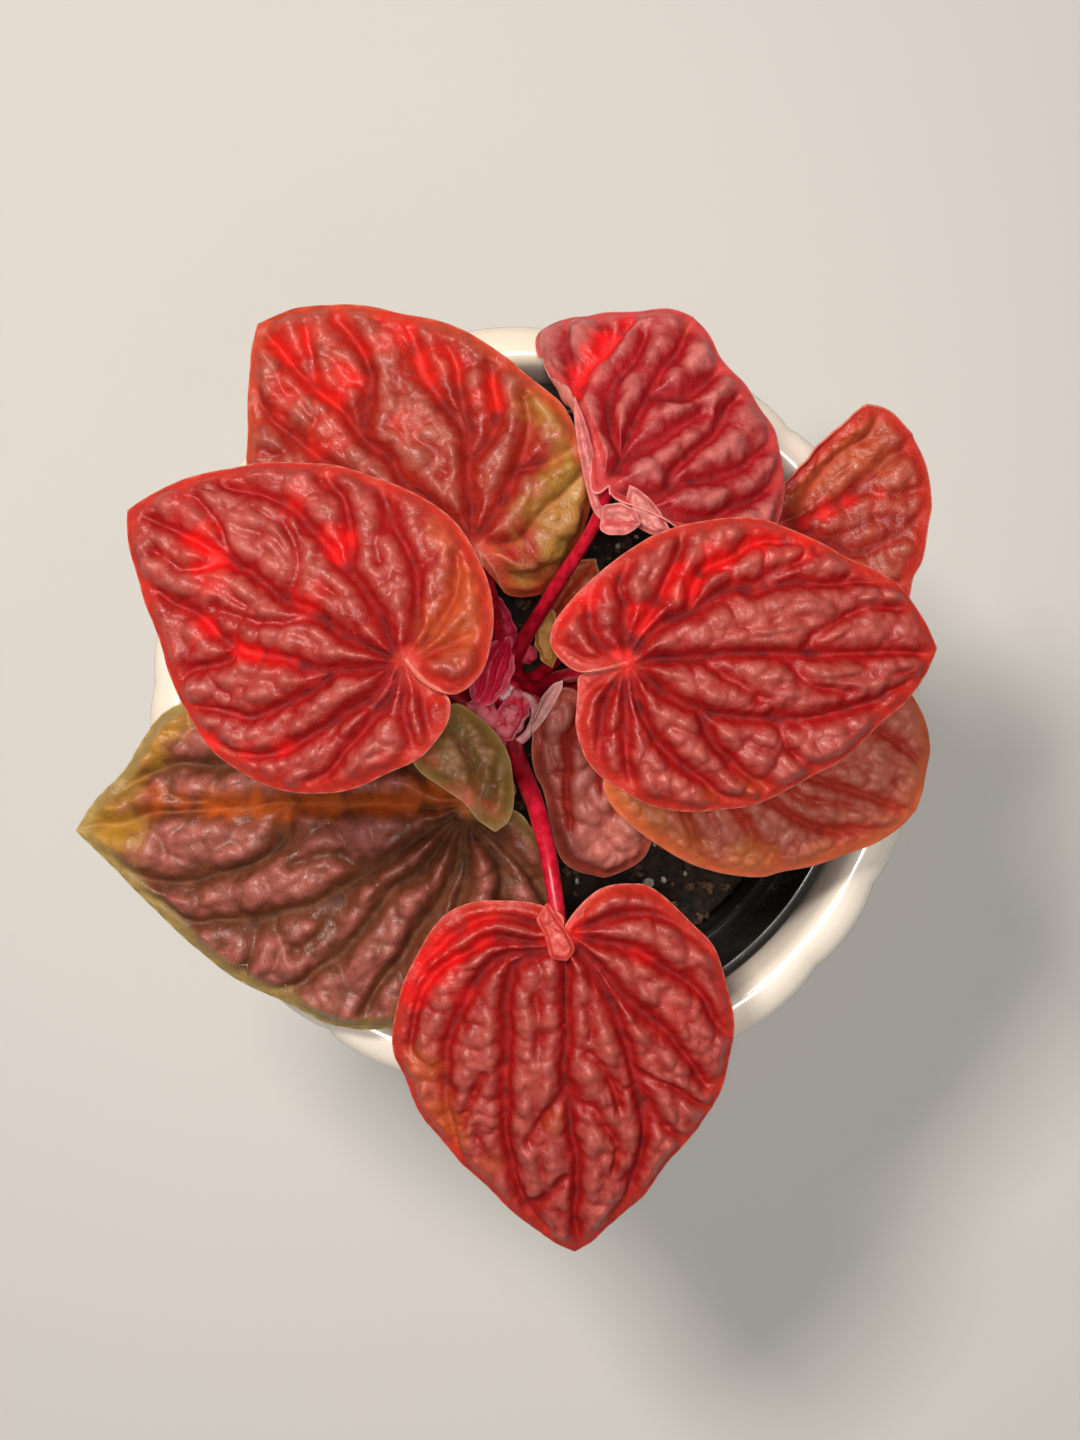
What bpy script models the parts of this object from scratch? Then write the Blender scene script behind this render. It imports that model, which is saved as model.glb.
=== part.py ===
"""Red ripple peperomia in its nursery pot, standing in a scalloped ceramic cover pot.

Sizes are millimetres here and become metres in the meshes. The origin is the centre
of the cover pot's flat base, +Z is up, and +Y is away from a person who looks down
on the plant with the heart-shaped front leaf towards them.
"""
import math

import bmesh
import bpy
import numpy as np
from mathutils import Vector

MM = 0.001
GAP = 0.3

# Cover pot: profile radii and heights, and the scallops round its rim.
POT_HEIGHT = 108.0
POT_RIM_RADIUS = 62.7
POT_FOOT_RADIUS = 43.0
POT_FLOOR = 5.0
POT_SEGMENTS = 96
POT_OUTSIDE = [
    (0.0, 0.0), (POT_FOOT_RADIUS - 1.5, 0.0), (POT_FOOT_RADIUS, 1.5), (48.8, 26.0), (54.6, 62.0),
    (57.8, 88.0), (61.3, 102.2), (POT_RIM_RADIUS, 104.6), (62.2, 106.2), (60.4, 107.4),
]
POT_INSIDE = [
    (57.5, POT_HEIGHT), (56.2, 107.0), (55.0, 103.5), (54.3, 99.0), (53.9, 91.0),
    (50.4, 58.0), (44.6, 24.0), (39.6, POT_FLOOR + 0.8), (37.6, POT_FLOOR), (0.0, POT_FLOOR),
]
SCALLOP_DEPTH = 1.1
SCALLOP_FADE_FROM = 60.0
# Where two lobes of the rim meet, in degrees from +X.
SCALLOP_DENTS = [
    10.0, 29.0, 48.1, 67.0, 87.0, 109.0, 132.0, 155.0, 176.0, 196.0,
    217.0, 237.0, 255.0, 268.0, 282.0, 299.5, 317.7, 332.6, 351.0,
]

# Nursery pot: a thin black pot whose collar leans a little to one side of the cover pot.
NURSERY_AXIS = (1.3, -1.3)
NURSERY_SEGMENTS = 48
NURSERY_OUTSIDE = [
    (0.0, 5.3), (34.4, 5.3), (35.6, 6.6), (46.8, 85.5), (49.7, 86.6), (51.4, 101.3),
]
NURSERY_INSIDE = [
    (50.2, 101.3), (48.3, 88.4), (46.9, 87.2), (46.2, 87.6), (45.4, 85.0), (34.6, 8.0), (33.6, 7.0),
    (0.0, 7.0),
]
DRAIN_HOLES = 5
DRAIN_RADIUS = 4.0
DRAIN_RING = 24.0

# Soil: fills the nursery pot to below its collar, with a socket for the crown.
SOIL_TOP = 82.0
SOIL_PROFILE = [
    (0.0, 7.3), (33.2, 7.3), (34.2, 8.6), (44.6, SOIL_TOP - 0.4), (42.0, SOIL_TOP + 0.4),
    (30.0, SOIL_TOP - 0.5), (0.0, SOIL_TOP),
]
SOIL_SEGMENTS = 36

# Crown: the short stem that every petiole grows from.
CROWN_AXIS = (-4.6, 3.0)
CROWN_PROFILE = [
    (0.0, 72.0), (3.6, 72.0), (4.2, 78.0), (4.4, 86.0), (3.9, 92.0), (2.8, 97.0), (2.2, 100.0),
    (0.0, 100.3),
]
CROWN_SEGMENTS = 16
SOCKET_RADIUS = 4.9
SOCKET_DEPTH = 10.3

BLADE_THICKNESS = 1.0
BLADE_SEAT = 0.6
BLADE_GRID = 10
PETIOLE_SIDES = 8

# Leaf blades. joint: where the petiole meets the blade. heading: the midrib seen from above, in degrees
# from +X. fall: slope down the midrib. droop: bend of the tip. arch: bend down of the left and right
# halves. lobe: bend down of the two lobes behind the joint. left and right: each half of the outline,
# as (along, across) from the joint, from the notch to the tip.
BLADES = {
    "front": dict(
        joint=(4.0, -34.5, 129.0), heading=-87.0, length=51.5,
        fall=0.10, droop=0.0045, arch=(0.006, 0.006), lobe=0.02,
        left=[(-2, 0.8), (-5, 3), (-7, 7), (-7.5, 11), (-6.5, 14.5), (-0.5, 20.5), (3.5, 23.5),
              (11.5, 25.5), (19, 25.5), (28.5, 22), (35.5, 16), (42, 11), (47, 5.5)],
        right=[(-2.5, -0.8), (-5, -4), (-6, -8.5), (-6, -13), (-4, -17.5), (1, -21.5), (8, -25),
               (14.5, -26.5), (20, -25.5), (28.5, -22), (37.5, -15), (47.5, -6)]),
    "left": dict(
        joint=(-18.0, 7.0, 148.0), heading=152.0, length=47.3,
        fall=0.14, droop=0.002, arch=(0.007, 0.006), lobe=0.01,
        left=[(-2.5, 0.9), (-6, 1.5), (-8.5, 2.7), (-9, 8), (-8, 11.5), (-5, 15.5), (-2, 19.5), (2, 22.5),
              (7.5, 25), (16.5, 25.5), (22, 23.5), (26.5, 21), (31.5, 16.5), (36, 12.5), (40.5, 8.5),
              (44.5, 4.5)],
        right=[(-3, 0.0), (-6, 0.0), (-8, -0.6), (-9.5, -2.8), (-9.5, -6.5), (-8, -11), (-4, -16), (2, -20),
               (7, -21.5), (12.5, -21.5), (18, -21), (24, -19.5), (31.5, -16), (38.5, -11), (44.5, -5)]),
    "back_left": dict(
        joint=(-8.3, 24.2, 126.0), heading=134.0, length=50.0,
        fall=0.08, droop=0.001, arch=(0.006, 0.002), lobe=0.085,
        left=[(-1.5, 1), (-4, 3), (-5.5, 7), (-1, 12.5), (4, 15.5), (9.5, 18), (19, 20), (29.5, 19),
              (35, 16.5), (38.5, 13), (41.5, 10), (45.5, 6)],
        right=[(-1.5, 0), (-4, 0.5), (-6.5, 1.5), (-9, 0), (-10.5, -4), (-10, -9), (-8, -14), (-5.5, -18.5),
               (-2.5, -21), (6, -24.5), (11, -24.5), (16.5, -24), (23, -23), (28, -21.5), (33, -18.5),
               (41, -13), (47, -6.5)]),
    "back": dict(
        joint=(11.0, 33.0, 134.0), heading=64.0, length=31.0,
        fall=0.45, droop=0.0, arch=(0.036, 0.008), lobe=0.01,
        left=[(-1.5, 0.8), (-1.5, 2.0), (0, 3.0), (3.5, 5.0), (8.5, 10), (11, 14), (14.5, 18), (18.5, 20.5),
              (21.5, 20), (24, 17.5), (26, 13), (28.5, 8), (30.5, 4)],
        right=[(-1.5, -1.5), (-1.5, -6.5), (-2, -12), (-2, -17), (-0.5, -22), (4, -25), (9.5, -25),
               (14.5, -23.5), (18.5, -20.5), (21.5, -17.5), (24.5, -12.5), (26.5, -7.5), (29.5, -3.5)]),
    "far_right": dict(
        joint=(38.7, 28.4, 113.0), heading=36.0, length=26.3,
        fall=0.0, droop=0.0, arch=(-0.03, 0.0), lobe=0.0,
        left=[(-0.5, 0.8), (0.5, 3), (4, 6), (10.5, 7.5), (18.5, 8.5), (21, 8.5), (23, 8), (25.5, 5)],
        right=[(-2.5, -2), (-3.5, -7), (-2.5, -13.5), (0.5, -19), (5.5, -21.5), (10, -21), (13, -18.5),
               (16, -17), (20, -13), (22.5, -10.5), (25, -5.5)]),
    "right": dict(
        joint=(13.2, 6.8, 144.0), heading=3.0, length=46.5,
        fall=0.08, droop=0.0025, arch=(0.007, 0.007), lobe=0.01,
        left=[(-2.5, 0.4), (-6, 0), (-8.5, 0), (-10.5, 2), (-10, 5.5), (-8, 8.5), (-5, 11.5), (1.5, 16.2),
              (6, 18.5), (13.5, 20.2), (18.5, 20.2), (23.5, 19.2), (32.5, 14.5), (38, 11.5), (42.5, 8)],
        right=[(-3, -0.6), (-6, -1.6), (-7.5, -5), (-7.5, -9), (-6.5, -13), (-4.5, -16), (-1, -18.5),
               (3, -21), (8.5, -22), (13, -22), (18, -21.5), (27.5, -17.5), (33, -14.5), (37.5, -10.5),
               (41.5, -7.5), (44.5, -4)]),
    "lower_right": dict(
        joint=(24.7, -3.8, 124.0), heading=-19.0, length=37.5,
        fall=0.20, droop=0.002, arch=(0.004, 0.006), lobe=0.01,
        left=[(-1.5, 1), (-3, 4), (-1.5, 7), (4.5, 11.5), (12, 16.5), (20, 18.5), (26.5, 18.5),
              (30.5, 17.5), (33.5, 15), (35.5, 12), (37, 9), (37.3, 5)],
        right=[(-2.5, 0), (-7, 0), (-10, -3.5), (-11, -8.5), (-10.5, -12.5), (-6.5, -15.5), (1, -18),
               (9, -19), (17, -17.5), (20.5, -15.5), (25.5, -12.5), (32.5, -7), (36, -3)]),
    "inner": dict(
        joint=(8.9, 1.4, 111.0), heading=-85.0, length=28.9,
        fall=0.35, droop=0.0, arch=(0.0, 0.0), lobe=0.0,
        left=[(-1, 1.5), (0.5, 5), (6, 7.5), (12.5, 9), (19.5, 9), (24, 8), (27, 5.5)],
        right=[(-1.5, -1.5), (-3, -4), (-2.5, -7), (1, -9.2), (5, -10), (10.5, -9.8), (13.5, -8.7),
               (18.5, -8), (24.5, -7), (27, -4.5)]),
    "old_left": dict(
        joint=(-10.4, -14.7, 115.0), heading=-176.0, length=63.0,
        fall=0.02, droop=0.0008, arch=(0.0028, 0.003), lobe=0.036,
        left=[(-1.5, 0.8), (-5, 2.5), (-8.5, 3), (-11, 5.5), (-13, 9), (-13, 14), (-10.5, 22.5),
              (-3, 30), (6, 34), (15, 35), (24, 34), (29, 31), (39.5, 25), (47, 18), (54.5, 9.5)],
        right=[(-1.5, 0), (-3.5, 1.5), (-6, 1.5), (-7.5, -1), (-6.5, -5), (-5, -9.5), (-1.5, -13),
               (1.5, -15), (5.5, -17), (12.5, -20), (25, -22.5), (36.5, -22), (44.5, -19), (48.5, -17),
               (51.5, -13), (55, -8.5), (59.5, -4.5)]),
}

# Petioles: side of the crown (degrees) and height they leave it at, the points they
# pass, and their radius at the crown and at the blade. Each ends under its blade's joint.
PETIOLES = {
    "front": dict(
        side=-80.0, height=94.0, radii=(1.8, 1.2),
        through=[(-3.0, -7.4, 105.6), (0.1, -14.6, 118.6), (2.5, -24.0, 125.6)]),
    "left": dict(
        side=185.0, height=91.0, radii=(1.6, 1.2),
        through=[(-13.4, 2.5, 107.0), (-16.2, 5.0, 130.0)]),
    "back_left": dict(
        side=116.0, height=92.0, radii=(1.3, 0.95),
        through=[(-5.9, 10.8, 100.5), (-6.2, 14.5, 108.0), (-7.2, 20.0, 117.5)]),
    "back": dict(
        side=75.0, height=94.5, radii=(1.35, 0.9),
        through=[(-1.8, 11.2, 108.0), (3.6, 19.5, 121.5), (8.8, 27.4, 129.0)]),
    "far_right": dict(
        side=30.0, height=88.5, radii=(1.2, 0.9),
        through=[(8.0, 12.0, 96.0), (20.0, 19.0, 103.0), (30.0, 24.5, 108.5)]),
    "right": dict(
        side=8.0, height=94.0, radii=(1.3, 1.0),
        through=[(3.6, 5.2, 105.0), (7.5, 5.8, 122.0), (10.6, 6.4, 135.0)]),
    "lower_right": dict(
        side=-8.0, height=87.5, radii=(1.2, 0.9),
        through=[(6.5, 3.5, 94.0), (14.0, 3.0, 106.0), (20.0, 0.0, 116.5)]),
    "inner": dict(
        side=-40.0, height=91.0, radii=(1.1, 0.8),
        through=[(3.0, -1.5, 97.0), (6.5, 0.2, 104.5)]),
    "old_left": dict(
        side=-118.0, height=88.0, radii=(1.5, 1.1),
        through=[(-9.0, -5.5, 98.0), (-10.2, -11.0, 108.5)]),
}

# Young leaves at the crown, in the same terms as the blades.
YOUNG_LEAVES = {
    "young_folded": dict(
        joint=(-5.6, 4.7, 101.1), heading=128.0, length=8.5,
        fall=-0.45, droop=0.0, arch=(-0.16, -0.16), lobe=0.0,
        left=[(0.2, 2.6), (3, 4.4), (6, 3.6)], right=[(0.2, -2.6), (3, -4.4), (6, -3.6)]),
    "young_bumpy": dict(
        joint=(-6.6, 1.5, 101.1), heading=222.0, length=6.5,
        fall=-0.1, droop=0.01, arch=(0.05, 0.05), lobe=0.0,
        left=[(0.3, 1.6), (2.8, 2.4), (5.2, 1.6)], right=[(0.3, -1.4), (2.8, -2.0), (5.2, -1.4)]),
    "young_curled": dict(
        joint=(-3.5, 1.9, 101.5), heading=-84.0, length=8.5,
        fall=-0.8, droop=0.0, arch=(-0.09, -0.09), lobe=0.0,
        left=[(-0.2, 2.0), (3, 3.5), (6.5, 2.6)], right=[(-0.2, -2.0), (3, -3.6), (6.5, -3.0)]),
}
YOUNG_GRID = 6

# Small closed buds: centre, half-width and height.
BUDS = {
    "bud_back": ((0.4, 8.9, 99.5), 1.4, 3.6),
    "bud_side": ((-0.3, 1.4, 97.6), 1.2, 3.2),
    "bud_front": ((-0.5, -2.9, 95.6), 1.0, 3.0),
}

# The dried leaf: a curled brown blade that leans on the soil behind the crown.
DRIED = dict(
    joint=(2.6, 13.4, 92.6), heading=58.0, length=14.0,
    fall=0.30, droop=0.0, arch=(-0.07, -0.05), lobe=0.0,
    left=[(-0.6, 2.5), (3, 4.6), (7, 4.8), (11, 3.2)],
    right=[(-0.6, -2.5), (3, -5.0), (7, -5.4), (11, -3.6)])
DRIED_PETIOLE = dict(side=70.0, height=86.5, through=[(0.6, 11.0, 89.0)], radii=(0.8, 0.6))

MATERIALS = {
    "glazed_ceramic": ((0.86, 0.80, 0.71), 0.25),
    "black_plastic": ((0.012, 0.012, 0.014), 0.3),
    "potting_soil": ((0.035, 0.022, 0.015), 0.95),
    "red_leaf": ((0.55, 0.05, 0.05), 0.35),
    "orange_leaf": ((0.60, 0.14, 0.05), 0.38),
    "olive_leaf": ((0.30, 0.13, 0.05), 0.35),
    "petiole_red": ((0.50, 0.01, 0.05), 0.25),
    "young_pink": ((0.70, 0.10, 0.16), 0.35),
    "dried_leaf": ((0.42, 0.16, 0.07), 0.7),
}
BLADE_FINISH = {
    "front": "red_leaf", "left": "red_leaf", "back_left": "orange_leaf", "back": "red_leaf",
    "far_right": "orange_leaf", "right": "red_leaf", "lower_right": "orange_leaf", "inner": "red_leaf",
    "old_left": "olive_leaf",
}


def clear_scene():
    for item in list(bpy.data.objects):
        bpy.data.objects.remove(item)


def material(name):
    made = bpy.data.materials.get(name)
    if made:
        return made
    colour, roughness = MATERIALS[name]
    made = bpy.data.materials.new(name)
    made.use_nodes = True
    shader = made.node_tree.nodes["Principled BSDF"]
    shader.inputs["Base Color"].default_value = (*colour, 1.0)
    shader.inputs["Roughness"].default_value = roughness
    shader.inputs["Metallic"].default_value = 0.0
    return made


def finish_object(name, vertices, faces, finish):
    """Make one object from vertices in millimetres and faces, shaded smooth."""
    mesh = bpy.data.meshes.new(name)
    mesh.from_pydata([Vector(v) * MM for v in vertices], [], faces)
    work = bmesh.new()
    work.from_mesh(mesh)
    bmesh.ops.recalc_face_normals(work, faces=work.faces)
    work.to_mesh(mesh)
    work.free()
    mesh.materials.append(material(finish))
    mesh.shade_smooth()
    mesh.set_sharp_from_angle(angle=math.radians(40.0))
    made = bpy.data.objects.new(name, mesh)
    bpy.context.collection.objects.link(made)
    return made


def turned(name, profile, axis, segments, finish, scalloped=0):
    """Turn a profile that starts and ends on the axis. Its first rings may be scalloped."""
    vertices, faces = [], []
    rings = profile[1:-1]
    for k, (radius, height) in enumerate(rings):
        for step in range(segments):
            angle = 2.0 * math.pi * step / segments
            reach = radius - (scallop(angle, height) if k < scalloped else 0.0)
            vertices.append((axis[0] + reach * math.cos(angle), axis[1] + reach * math.sin(angle), height))
    for ring in range(len(rings) - 1):
        for step in range(segments):
            after = (step + 1) % segments
            low, high = ring * segments, (ring + 1) * segments
            faces.append((low + step, low + after, high + after, high + step))
    first, last = len(vertices), len(vertices) + 1
    vertices.append((axis[0], axis[1], profile[0][1]))
    vertices.append((axis[0], axis[1], profile[-1][1]))
    top = (len(rings) - 1) * segments
    for step in range(segments):
        after = (step + 1) % segments
        faces.append((first, after, step))
        faces.append((last, top + step, top + after))
    return finish_object(name, vertices, faces, finish)


def scallop(angle, height):
    """How far the cover pot's outside is drawn in: rounded lobes between dents, fading down the wall."""
    if height < SCALLOP_FADE_FROM:
        return 0.0
    turn = math.degrees(angle)
    dents = SCALLOP_DENTS + [SCALLOP_DENTS[0] + 360.0]
    if turn < dents[0]:
        turn += 360.0
    last = max(k for k, dent in enumerate(dents[:-1]) if dent <= turn)
    across = (turn - dents[last]) / (dents[last + 1] - dents[last])
    lobe = (4.0 * across * (1.0 - across)) ** 0.6
    fade = ((height - SCALLOP_FADE_FROM) / (POT_HEIGHT - SCALLOP_FADE_FROM)) ** 1.5
    return SCALLOP_DEPTH * fade * (1.0 - lobe)


def smooth_path(points, count):
    """Points evenly spaced along a Catmull-Rom curve through the given points."""
    through = np.array(points, dtype=float)
    ends = np.vstack([2 * through[0] - through[1], through, 2 * through[-1] - through[-2]])
    fine = []
    for k in range(1, len(ends) - 2):
        before, start, end, after = ends[k - 1], ends[k], ends[k + 1], ends[k + 2]
        for t in np.linspace(0.0, 1.0, 16, endpoint=False):
            fine.append(0.5 * (2 * start + (end - before) * t
                               + (2 * before - 5 * start + 4 * end - after) * t * t
                               + (3 * start - before - 3 * end + after) * t ** 3))
    fine = np.array(fine + [through[-1]])
    length = np.concatenate([[0.0], np.cumsum(np.linalg.norm(np.diff(fine, axis=0), axis=1))])
    wanted = np.linspace(0.0, length[-1], count)
    return np.stack([np.interp(wanted, length, fine[:, k]) for k in range(fine.shape[1])], axis=1)


def blade_height(leaf, along, across):
    """Height of a blade above its joint."""
    arch = leaf["arch"][0] if across > 0 else leaf["arch"][1]
    return (-leaf["fall"] * along - leaf["droop"] * max(along, 0.0) ** 2
            - leaf["lobe"] * min(along, 0.0) ** 2 - arch * across ** 2)


def blade_point(leaf, along, across, lift):
    turn = math.radians(leaf["heading"])
    x, y, z = leaf["joint"]
    return (x + along * math.cos(turn) - across * math.sin(turn),
            y + along * math.sin(turn) + across * math.cos(turn),
            z + blade_height(leaf, along, across) + lift)


def blade(name, leaf, grid, finish):
    """A closed leaf blade: a square grid drawn out to the leaf's outline, top and underside."""
    tip, notch = (leaf["length"], 0.0), (0.0, 0.0)
    half = 2 * grid
    left = smooth_path([tip] + leaf["left"][::-1] + [notch], half + 1)
    right = smooth_path([notch] + leaf["right"] + [tip], half + 1)
    edge = np.vstack([left, right[1:]])
    heart = np.array([0.3 * leaf["length"], 0.0])
    top, under = {}, {}
    vertices = []
    for i in range(grid + 1):
        for j in range(grid + 1):
            a, b = 2.0 * i / grid - 1.0, 2.0 * j / grid - 1.0
            ring = max(abs(a), abs(b))
            if ring < 1e-9:
                place = heart
            else:
                if a >= abs(b):
                    round_edge = b / ring
                elif b >= abs(a):
                    round_edge = 2.0 - a / ring
                elif -a >= abs(b):
                    round_edge = 4.0 - b / ring
                else:
                    round_edge = 6.0 + a / ring
                at = (round_edge % 8.0) / 8.0 * (len(edge) - 1)
                low = int(at)
                rim = edge[low] + (edge[min(low + 1, len(edge) - 1)] - edge[low]) * (at - low)
                place = heart + (rim - heart) * ring
            for side, lift in ((top, 0.5), (under, -0.5)):
                side[i, j] = len(vertices)
                vertices.append(blade_point(leaf, place[0], place[1], lift * BLADE_THICKNESS))
    faces = []
    for i in range(grid):
        for j in range(grid):
            corners = [(i, j), (i + 1, j), (i + 1, j + 1), (i, j + 1)]
            faces.append(tuple(top[c] for c in corners))
            faces.append(tuple(under[c] for c in reversed(corners)))
    border = ([(k, 0) for k in range(grid)] + [(grid, k) for k in range(grid)]
              + [(k, grid) for k in range(grid, 0, -1)] + [(0, k) for k in range(grid, 0, -1)])
    for here, after in zip(border, border[1:] + border[:1]):
        faces.append((top[here], under[here], under[after], top[after]))
    return finish_object(name, vertices, faces, finish)


def tube(name, points, radii, finish, rings=9):
    """A tapering closed tube along a smooth path."""
    path = smooth_path(points, rings)
    vertices, faces = [], []
    guide = Vector((0.0, 0.0, 1.0))
    for k, place in enumerate(path):
        ahead = Vector(path[min(k + 1, rings - 1)]) - Vector(path[max(k - 1, 0)])
        ahead.normalize()
        side = ahead.cross(guide)
        if side.length < 0.05:
            side = ahead.cross(Vector((0.0, 1.0, 0.0)))
        side.normalize()
        other = ahead.cross(side)
        radius = radii[0] + (radii[1] - radii[0]) * k / (rings - 1)
        for step in range(PETIOLE_SIDES):
            angle = 2.0 * math.pi * step / PETIOLE_SIDES
            vertices.append(Vector(place) + (side * math.cos(angle) + other * math.sin(angle)) * radius)
    for k in range(rings - 1):
        for step in range(PETIOLE_SIDES):
            after = (step + 1) % PETIOLE_SIDES
            low, high = k * PETIOLE_SIDES, (k + 1) * PETIOLE_SIDES
            faces.append((low + step, low + after, high + after, high + step))
    faces.append(tuple(range(PETIOLE_SIDES))[::-1])
    faces.append(tuple(range((rings - 1) * PETIOLE_SIDES, rings * PETIOLE_SIDES)))
    return finish_object(name, vertices, faces, finish)


def crown_radius(height):
    heights = [place[1] for place in CROWN_PROFILE[1:-1]]
    return float(np.interp(height, heights, [place[0] for place in CROWN_PROFILE[1:-1]]))


def petiole(name, stalk, leaf, finish):
    """A leaf stalk from the side of the crown to just under its blade's joint."""
    side = math.radians(stalk["side"])
    reach = crown_radius(stalk["height"]) + GAP + stalk["radii"][0]
    start = (CROWN_AXIS[0] + reach * math.cos(side), CROWN_AXIS[1] + reach * math.sin(side),
             stalk["height"])
    joint = Vector(leaf["joint"])
    arrival = (joint - Vector(stalk["through"][-1])).normalized()
    level = math.hypot(arrival.x, arrival.y)
    drop = 0.5 * BLADE_THICKNESS + BLADE_SEAT + stalk["radii"][1] * level
    end = (joint.x, joint.y, joint.z - drop)
    return tube(name, [start] + stalk["through"] + [end], stalk["radii"], finish)


def bud(name, centre, half_width, height):
    profile = [(0.0, centre[2] - 0.5 * height)]
    for share, width in ((-0.42, 0.55), (-0.2, 0.95), (0.05, 1.0), (0.3, 0.7), (0.44, 0.35)):
        profile.append((width * half_width, centre[2] + share * height))
    profile.append((0.0, centre[2] + 0.5 * height))
    return turned(name, profile, centre[:2], 10, "young_pink")


def cut(target, cutter):
    """Take a guide body out of an object, and keep the guide out of the model."""
    cutter.hide_render = True
    cutter.display_type = "WIRE"
    hole = target.modifiers.new(cutter.name, "BOOLEAN")
    hole.operation = "DIFFERENCE"
    hole.solver = "EXACT"
    hole.object = cutter


def make_pots():
    turned("cover_pot", POT_OUTSIDE + POT_INSIDE, (0.0, 0.0), POT_SEGMENTS, "glazed_ceramic",
           scalloped=len(POT_OUTSIDE) - 1)
    nursery = turned("nursery_pot", NURSERY_OUTSIDE + NURSERY_INSIDE, NURSERY_AXIS, NURSERY_SEGMENTS,
                     "black_plastic")
    for k in range(DRAIN_HOLES):
        angle = 2.0 * math.pi * k / DRAIN_HOLES
        centre = (NURSERY_AXIS[0] + DRAIN_RING * math.cos(angle),
                  NURSERY_AXIS[1] + DRAIN_RING * math.sin(angle))
        cut(nursery, turned(f"drain_cutter_{k}",
                            [(0.0, 4.0), (DRAIN_RADIUS, 4.0), (DRAIN_RADIUS, 7.8), (0.0, 7.8)],
                            centre, 12, "black_plastic"))


def make_soil_and_crown():
    soil = turned("soil", SOIL_PROFILE, NURSERY_AXIS, SOIL_SEGMENTS, "potting_soil")
    bottom, top = SOIL_TOP - SOCKET_DEPTH, SOIL_TOP + 3.0
    cut(soil, turned("socket_cutter",
                     [(0.0, bottom), (SOCKET_RADIUS, bottom), (SOCKET_RADIUS, top), (0.0, top)],
                     CROWN_AXIS, CROWN_SEGMENTS, "potting_soil"))
    turned("crown_stem", CROWN_PROFILE, CROWN_AXIS, CROWN_SEGMENTS, "petiole_red")


def make_leaves():
    for name, leaf in BLADES.items():
        blade(f"blade_{name}", leaf, BLADE_GRID, BLADE_FINISH[name])
        petiole(f"petiole_{name}", PETIOLES[name], leaf, "petiole_red")
    for name, leaf in YOUNG_LEAVES.items():
        blade(name, leaf, YOUNG_GRID, "young_pink")
    for name, (centre, half_width, height) in BUDS.items():
        bud(name, centre, half_width, height)
    blade("dried_blade", DRIED, YOUNG_GRID, "dried_leaf")
    petiole("dried_petiole", DRIED_PETIOLE, DRIED, "dried_leaf")


def main():
    clear_scene()
    make_pots()
    make_soil_and_crown()
    make_leaves()


main()
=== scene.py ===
"""Looks of a red ripple peperomia in a black nursery pot, standing in a scalloped ceramic cover pot.

The classes hold their sizes in millimetres, and the meshes are metres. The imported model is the
frame: its origin is the centre of the cover pot's base and +Z is up.
"""
import logging
import math
from dataclasses import dataclass, field, replace
from enum import Enum

import bpy
import numpy as np
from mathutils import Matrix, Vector


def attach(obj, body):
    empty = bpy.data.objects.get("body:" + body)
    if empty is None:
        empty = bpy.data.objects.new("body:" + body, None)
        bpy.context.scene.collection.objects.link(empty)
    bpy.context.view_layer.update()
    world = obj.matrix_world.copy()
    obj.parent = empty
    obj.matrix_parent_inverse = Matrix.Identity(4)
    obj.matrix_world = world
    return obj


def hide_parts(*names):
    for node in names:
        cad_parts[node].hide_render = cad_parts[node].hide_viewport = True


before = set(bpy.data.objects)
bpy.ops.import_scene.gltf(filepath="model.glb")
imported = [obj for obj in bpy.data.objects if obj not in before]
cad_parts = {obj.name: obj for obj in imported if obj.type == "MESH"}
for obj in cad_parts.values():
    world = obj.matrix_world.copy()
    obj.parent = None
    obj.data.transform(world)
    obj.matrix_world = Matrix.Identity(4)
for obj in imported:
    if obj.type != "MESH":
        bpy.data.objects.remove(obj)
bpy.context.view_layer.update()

Pair = tuple[float, float]
Place = tuple[float, float, float]
Source = bpy.types.Node | bpy.types.NodeSocket
Layer = tuple[Source, float, float, float, str]

LOG = logging.getLogger("peperomia")
MM = 0.001
BODY = "root"
FULL_TURN = 6.283
FAR_MM = 40.0
OUTLINE_POINTS = 241
VEIN_POINTS = 25
STALK_POINTS = 70
TRIM_POINTS = 48


class Skin(Enum):
    """The two faces of a blade, with the value that its skin attribute takes."""

    TOP = 0.0
    UNDER = 1.0


class Role(Enum):
    """What a lamp does for the picture."""

    KEY = "key"
    FILL = "fill"
    TOP = "top"


# Colour, nodes and meshes


def linear(colour: str) -> tuple[float, float, float, float]:
    """Turn an sRGB hex colour into linear light.

    Args:
        colour: Six hex digits after a hash sign.

    Returns:
        Linear red, green, blue and an alpha of one.
    """
    parts = [int(colour[k:k + 2], 16) / 255.0 for k in (1, 3, 5)]
    light = [c / 12.92 if c <= 0.04045 else ((c + 0.055) / 1.055) ** 2.4 for c in parts]
    return (*light, 1.0)


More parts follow.
